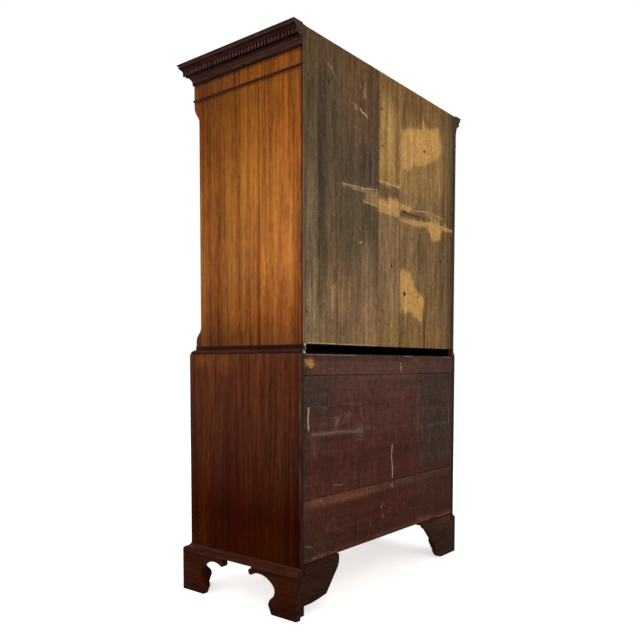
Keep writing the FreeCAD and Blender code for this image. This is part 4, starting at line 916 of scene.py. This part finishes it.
def lower_back():
    shell = Shell()
    reach = LOWER_X - SIDE_BOARD + BACK_REBATE
    levels = (LOWER_BOTTOM,) + LOWER_JOINTS + (LOWER_TOP - 1.0,)

    def wave(x, z):
        return 0.35 + 0.25 * math.sin(z / 41.0 + 0.4) + 0.1 * math.sin(x / 90.0)

    for z0, z1 in zip(levels, levels[1:]):
        board_grid(shell, -reach, reach, z0 + 0.5, z1 - 0.5, 6.0, wave)
    layers = [
        (490, 690, 30, 0.8, (76, 45, 36)), (0, 540, 60, 1, (72, 39, 31)), (720, 2200, 20, 0.6, (86, 58, 47)),
        (0, 376, 4, 1, (70, 37, 27)), (345, 374, 6, 0.6, (98, 66, 54)), (90, 600, 345, 374, 60, 8, 0.6, (106, 64, 48)),
        (60, 600, 176, 300, 60, 30, 0.5, (62, 33, 24)), (176, 240, 30, 0.3, (54, 32, 22)),
        (174, 192, 6, 0.5, (92, 58, 44)), (340, 520, 590, 768, 90, 60, 0.35, (62, 49, 42)),
        (-600, -210, 403, 2200, 90, 27, 0.85, (62, 49, 41)), (770, 2200, 2, 0.6, (88, 60, 52)),
        (816, 2200, 10, 0.65, (60, 44, 38)), (348, 496, 650, 745, 40, 40, 0.6, (62, 50, 43)),
        (342, 446, 550, 572, 20, 6, 0.6, (58, 46, 37)), (90, 470, 574, 588, 60, 5, 0.55, (102, 74, 64)),
        (-180, 60, 564, 578, 60, 6, 0.3, (92, 68, 60)), (170, 215, 545, 600, 12, 14, 0.5, (104, 80, 70)),
        (300, 330, 596, 632, 9, 10, 0.5, (100, 76, 66)), (225, 250, 640, 690, 9, 14, 0.4, (92, 68, 60)),
        (425, 450, 510, 560, 9, 14, 0.4, (94, 76, 68)), (210, 222, 386, 450, 6, 16, 0.45, (96, 72, 64)),
        (172, 182, 376, 440, 6, 16, 0.45, (96, 72, 64)), (-212, -196, 560, 720, 6, 26, 0.35, (88, 72, 64)),
        (-15, 10, 600, 740, 8, 30, 0.3, (84, 64, 56)), (-470, -276, 556, 570, 30, 7, 0.35, (84, 72, 66)),
        (330, 400, 258, 290, 20, 14, 0.35, (92, 62, 50)), (-600, -180, 230, 374, 60, 14, 0.45, (60, 43, 33)),
        (330, 600, 176, 262, 60, 26, 0.4, (62, 44, 31)), (470, 520, 60, 1000, 9, 10, 0.5, (56, 44, 38)),
        (-600, -482, 0, 2200, 8, 1, 0.7, (44, 36, 32))]
    chip = [(483, 821), (473, 818), (462, 823), (441, 823), (438, 817), (431, 812), (434, 801), (431, 792),
            (451, 787), (466, 792), (468, 801), (483, 802)]
    worn = [
        [(333, 366), (264, 372), (201, 367), (135, 361), (124, 352), (164, 345), (219, 344), (282, 343), (329, 351)],
        [(-198, 202), (-258, 197), (-314, 186), (-308, 175), (-222, 184)],
        [(-141, 822), (-211, 820), (-205, 812), (-150, 813)]]
    scratches = [
        (9, 1.0, 467, 672, 471, 633, 467, 590), (8, 0.9, -78, 813, -75, 790, -84, 770),
        (8, 0.9, -22, 511, -15, 466, -24, 412, -22, 380), (8, 0.8, -22, 368, -22, 345), (7, 0.25, -462, 627, -462, 556),
        (3, 0.6, 342, 407, 299, 401, 282, 406), (3, 0.6, -353, 178, -494, 176), (3, 0.7, 40, 305, 52, 279),
        (2.5, 0.7, 35, 259, 39, 237), (2.5, 0.6, 120, 251, 118, 223), (2, 0.6, 454, 184, 316, 182),
        (3, 0.5, 486, 231, 446, 221), (2.5, 0.6, 486, 834, 204, 834), (3, 0.6, -100, 834, -170, 833),
        (3, 0.6, -400, 834, -470, 833), (12, 0.16, 459, 582, 401, 580, 328, 581, 164, 570),
        (12, 0.18, 334, 596, 306, 630), (9, 0.16, 287, 604, 247, 651), (7, 0.14, 262, 606, 236, 642),
        (7, 0.14, 172, 614, 186, 657), (9, 0.16, 196, 566, 190, 592), (3, 0.3, 416, 672, 369, 659),
        (6, 0.1, 300, 672, 170, 668), (5, 0.12, 100, 470, 94, 400), (5, 0.12, 300, 500, 296, 430),
        (5, 0.12, -120, 600, -126, 500), (5, 0.12, -300, 520, -306, 450)]
    knocks = [
        (400, 662, 40, 8, 7, 12, 0.35), (292, 640, 16, 10, 9, 13, 0.45), (196, 626, 8, 6, 2, 11, 0.6),
        (191, 234, 12, 8, 5, 14, 0.5), (-168, 239, 14, 7, 3, 15, 0.5), (30, 250, 60, 60, 9, 16, 0.4),
        (120, 300, 160, 60, 7, 17, 0.35), (-205, 640, 14, 90, 6, 18, 0.35), (60, 270, 410, 88, 26, 19, 0.4),
        (400, 205, 90, 24, 9, 20, 0.45)]
    material = board_material("lower_back_pine", (176, 124, 66), (112, 66, 46), (182, 148, 122), 0.36, 0, 47.0,
                              across=80.0, flecked=0.2, grime=0.22)
    back("lower_back", shell, material, (78, 51, 41), [(1, layers)], ([chip],),
         (worn, [(7, -176, 793, -194, 769)], [(-27, 775, 9, 6)]),
         ([], [(3, -500, 376, 500, 376), (2.5, -500, 768, 500, 768)], [(-148, 734, 5, 5), (-200, 480, 5, 4)]),
         scratches, knocks)


# ---------------------------------------------------------------- brass fittings
def spline(points, per_span=6):
    """A smooth line through points of any size."""
    points = [np.array(p, float) for p in points]
    padded = [2 * points[0] - points[1]] + points + [2 * points[-1] - points[-2]]
    result = [points[0]]
    for a, b, c, d in zip(padded, padded[1:], padded[2:], padded[3:]):
        for t in (i / per_span for i in range(1, per_span + 1)):
            result.append(0.5 * (2 * b + (c - a) * t + (2 * a - 5 * b + 4 * c - d) * t * t
                                 + (3 * b - a - 3 * c + d) * t ** 3))
    return result


def bail_shell(x, y, z):
    bow = ((0.0, 1.0, 1.0), (0.3, 0.992, 1.0), (0.553, 0.962, 1.0), (0.74, 0.89, 0.94), (0.882, 0.782, 0.844),
           (0.965, 0.63, 0.72), (1.013, 0.487, 0.625), (1.09, 0.31, 0.6), (1.19, 0.17, 0.6))
    half = [(POST * u, -BAIL_DROP * v, GRIP_RADIUS * r) for u, v, r in bow]
    half = spline(half + [(POST + 7.6, -2.6, 1.9), (POST + 6.0, -0.2, 1.85)])
    half += [(POST + 3.0, 0.0, PIN_RADIUS), (POST - 4.5, 0.0, PIN_RADIUS)]
    stations = [(-u, v, r) for u, v, r in reversed(half)] + half[1:]
    rings = []
    for before, (u, v, radius), after in zip(stations[:1] + stations, stations, stations[1:] + stations[-1:]):
        du, dv = after[0] - before[0], after[1] - before[1]
        length, ring = math.hypot(du, dv), []
        for angle in (math.tau * corner / 12 for corner in range(12)):
            along, aside = radius * math.sin(angle) / length, radius * math.cos(angle)
            ring.append((x + u - dv * along, y + aside, z + v + du * along))
        rings.append(ring)
    shell = Shell()
    shell.loft(rings)
    return shell


def turned(shell, x, y, z, stations, sides):
    """A turned piece that stands out from a drawer front, from (distance out, radius) stations."""
    shell.loft([[(x + radius * math.cos(math.tau * i / sides), y - out, z + radius * math.sin(math.tau * i / sides))
                 for i in range(sides)] for out, radius in stations])


def keyhole_radius(u, v):
    """Distance from the keyhole's centre to its edge, on the way (u, v): a round over a slot."""
    if v < 0 and abs(u) * SLOT_END < SLOT_HALF * abs(v):
        return SLOT_END / abs(v)
    if v < 0 and abs(u) * 2.36 < SLOT_HALF * abs(v):
        return SLOT_HALF / abs(u)
    return KEYHOLE_RADIUS


def escutcheon(shell, x, y, z):
    """A plate with a raised rim round the keyhole, whose round is centred on (x, z)."""
    rings = []
    for out, outer, inset in ((0.0, True, 0.0), (0.9, True, 0.0), (1.2, True, 0.7), (0.9, True, 2.2),
                              (0.8, False, 1.2), (1.2, False, 0.7), (1.1, False, 0.1), (0.0, False, 0.0)):
        ring = []
        for angle in (math.tau * (i + 0.5) / 64 for i in range(64)):
            u, v = math.sin(angle), math.cos(angle)
            if outer:
                shares = abs(u / (PLATE_X - inset)), abs(v / (PLATE_Z - inset))
                radius = sum(share ** PLATE_POWER for share in shares) ** (-1 / PLATE_POWER)
            else:
                radius = keyhole_radius(u, v) + inset
            ring.append((x + u * radius, y - out, z - PLATE_DROP * outer + v * radius))
        rings.append(ring)
    shell.loft(rings, capped=False)


def drawer_brass():
    rose = [(0.0, 11.5), (0.7, 11.5), (1.3, 11.0), (1.6, 10.0), (1.5, 9.0), (2.0, 8.4), (2.9, 7.0), (3.5, 5.4),
            (3.9, 4.0), (4.0, 3.9)]
    post = [(3.8, 4.6), (4.6, 4.7), (5.2, 4.2), (5.8, 3.3), (8.5, 2.9), (11.5, 3.1), (13.2, 3.9), (14.2, 4.9),
            (15.4, 5.4), (17.5, 5.5), (20.5, 5.5), (22.4, 5.1), (23.4, 4.2), (23.9, 2.8), (24.0, 1.2)]
    for name in [node[:-6] for node in frame["nodes"] if node.endswith("_front")]:
        face = LOWER_FRONT if name.startswith("lower") else UPPER_FRONT
        low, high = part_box(name + "_front")
        middle, top, bottom = (low.x + high.x) * 500, high.z * 1000, low.z * 1000
        z = (top + bottom) / 2 + BAIL_DROP / 4
        plates, lock = Shell(), Shell()
        for node in [n for n in frame["nodes"] if n.startswith(name + "_bail")]:
            low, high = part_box(node)
            x = (low.x + high.x) * 500
            piece(node + "_brass", bail_shell(x, face - PIN_OUT, z), BRASS, node, smooth=0.9)
            for side in (-1, 1):
                turned(plates, x + side * POST, face, z, rose, 28)
                turned(plates, x + side * POST, face, z, post, 16)
        escutcheon(plates, middle, face, top - KEYHOLE_DEPTH)
        lock_top = top - LOCK_TOP
        near, far = (face + out for out in LOCK_BACKS)
        lock.box(middle - LOCK_HALF, middle + LOCK_HALF, near, far, *(lock_top - down for down in LOCK_SPAN))
        aside, levels = LOCK_SCREWS
        for u in (-aside, aside):
            for v in levels:
                turned(lock, middle + u, far, lock_top + v, [(0.0, 3.2), (-0.35, 2.6), (-0.4, 0.4)], 12)
        fittings = name + "_fittings"
        piece(name + "_roses", plates, BRASS, fittings, smooth=0.55)
        piece(name + "_lock", lock, BRASS, fittings, bevel=0.4)


mouldings()
dentils()
feet()
upper_back()
lower_back()
drawer_brass()

# ---------------------------------------------------------------- materials of the CAD nodes that stay
WOOD_OF = (("upper_side.*", "upper_side"), ("lower_side.*", "lower_side"), ("lower.*_front", "lower_front"),
           (".*_front|frieze", "upper_front"), (".*_box", "oak"), (".*_rails", "rail"), (".*_dustboards", "pine_y"),
           ("lower_top|upper_bottom", "stain_and_gap_shade"), ("upper_top", "top"), (".*", "pine_x"))
for node, obj in frame["nodes"].items():
    if not obj.hide_render:
        obj.data.materials.clear()
        obj.data.materials.append(WOODS[next(key for names, key in WOOD_OF if re.fullmatch(names, node))])


# ---------------------------------------------------------------- floor, light and camera
def stage_floor():
    s = Shader("pale_floor")
    path = s.node("LightPath").outputs
    seen = s.math("MAXIMUM", path["Is Camera Ray"], path["Is Glossy Ray"])
    diffuse = s.node("BsdfDiffuse", (0.9, 0.9, 0.9, 1.0))
    glow = s.node("Emission", (1.0, 1.0, 1.0, 1.0), seen * 0.6)
    s.node("OutputMaterial", s.node("AddShader", diffuse.outputs[0], glow.outputs[0]).outputs[0])
    mesh = bpy.data.meshes.new("floor")
    mesh.from_pydata([(-60, -60, 0), (60, -60, 0), (60, 60, 0), (-60, 60, 0)], [], [[0, 1, 2, 3]])
    mesh.materials.append(s.material)
    put("floor", mesh)


def world_light(level):
    """White where the camera, gloss and glass see it, and this level for the light on the object."""
    bpy.context.scene.world = bpy.data.worlds.new("studio")
    nodes = Nodes(bpy.context.scene.world)
    path = nodes.node("LightPath").outputs
    mirrored = nodes.math("MAXIMUM", path["Is Glossy Ray"], path["Is Transmission Ray"])
    seen = nodes.math("MAXIMUM", path["Is Camera Ray"], mirrored)
    background = nodes.node("Background", (1.0, 1.0, 1.0, 1.0), nodes.span(seen, 0.0, 1.0, level, 1.0))
    nodes.node("OutputWorld", background.outputs[0])


def lamp(name, place, aim, power):
    data = bpy.data.lights.new(name, "AREA")
    data.shape, data.size, data.energy = "SQUARE", LAMP_SIZE, power
    obj = put(name, data)
    obj.location = place
    obj.rotation_euler = (Vector(aim) - Vector(place)).to_track_quat("-Z", "Y").to_euler()


def camera():
    """The photograph's camera: place in metres, angles in radians, focal length for a 36 mm wide sensor."""
    yaw, pitch, roll = -2.47148, -0.054369, 0.001056
    forward = Vector((math.cos(yaw) * math.cos(pitch), math.sin(yaw) * math.cos(pitch), math.sin(pitch)))
    right = Vector((math.sin(yaw), -math.cos(yaw), 0.0))
    up = right.cross(forward)
    x = math.cos(roll) * right + math.sin(roll) * up
    y = -math.sin(roll) * right + math.cos(roll) * up
    data = bpy.data.cameras.new("camera")
    data.sensor_width, data.lens, data.shift_y, data.clip_end = 36.0, 38.325, 0.12745, 100.0
    obj = put("camera", data)
    obj.matrix_world = (Matrix.Translation((2.11377, 1.61698, 0.80309))
                        @ Matrix((x, y, -forward)).transposed().to_4x4())
    bpy.context.scene.camera = obj


stage_floor()
world_light(0.55)
lamp("key", (1.9, 3.4, 2.9), (0.0, 0.2, 0.9), 62.0)
lamp("side", (4.0, -0.4, 2.2), (0.4, 0.0, 0.9), 56.0)
lamp("front_fill", (-1.6, -3.6, 2.6), (0.0, 0.0, 0.9), 62.0)
camera()
bpy.context.scene.view_settings.view_transform = "Standard"
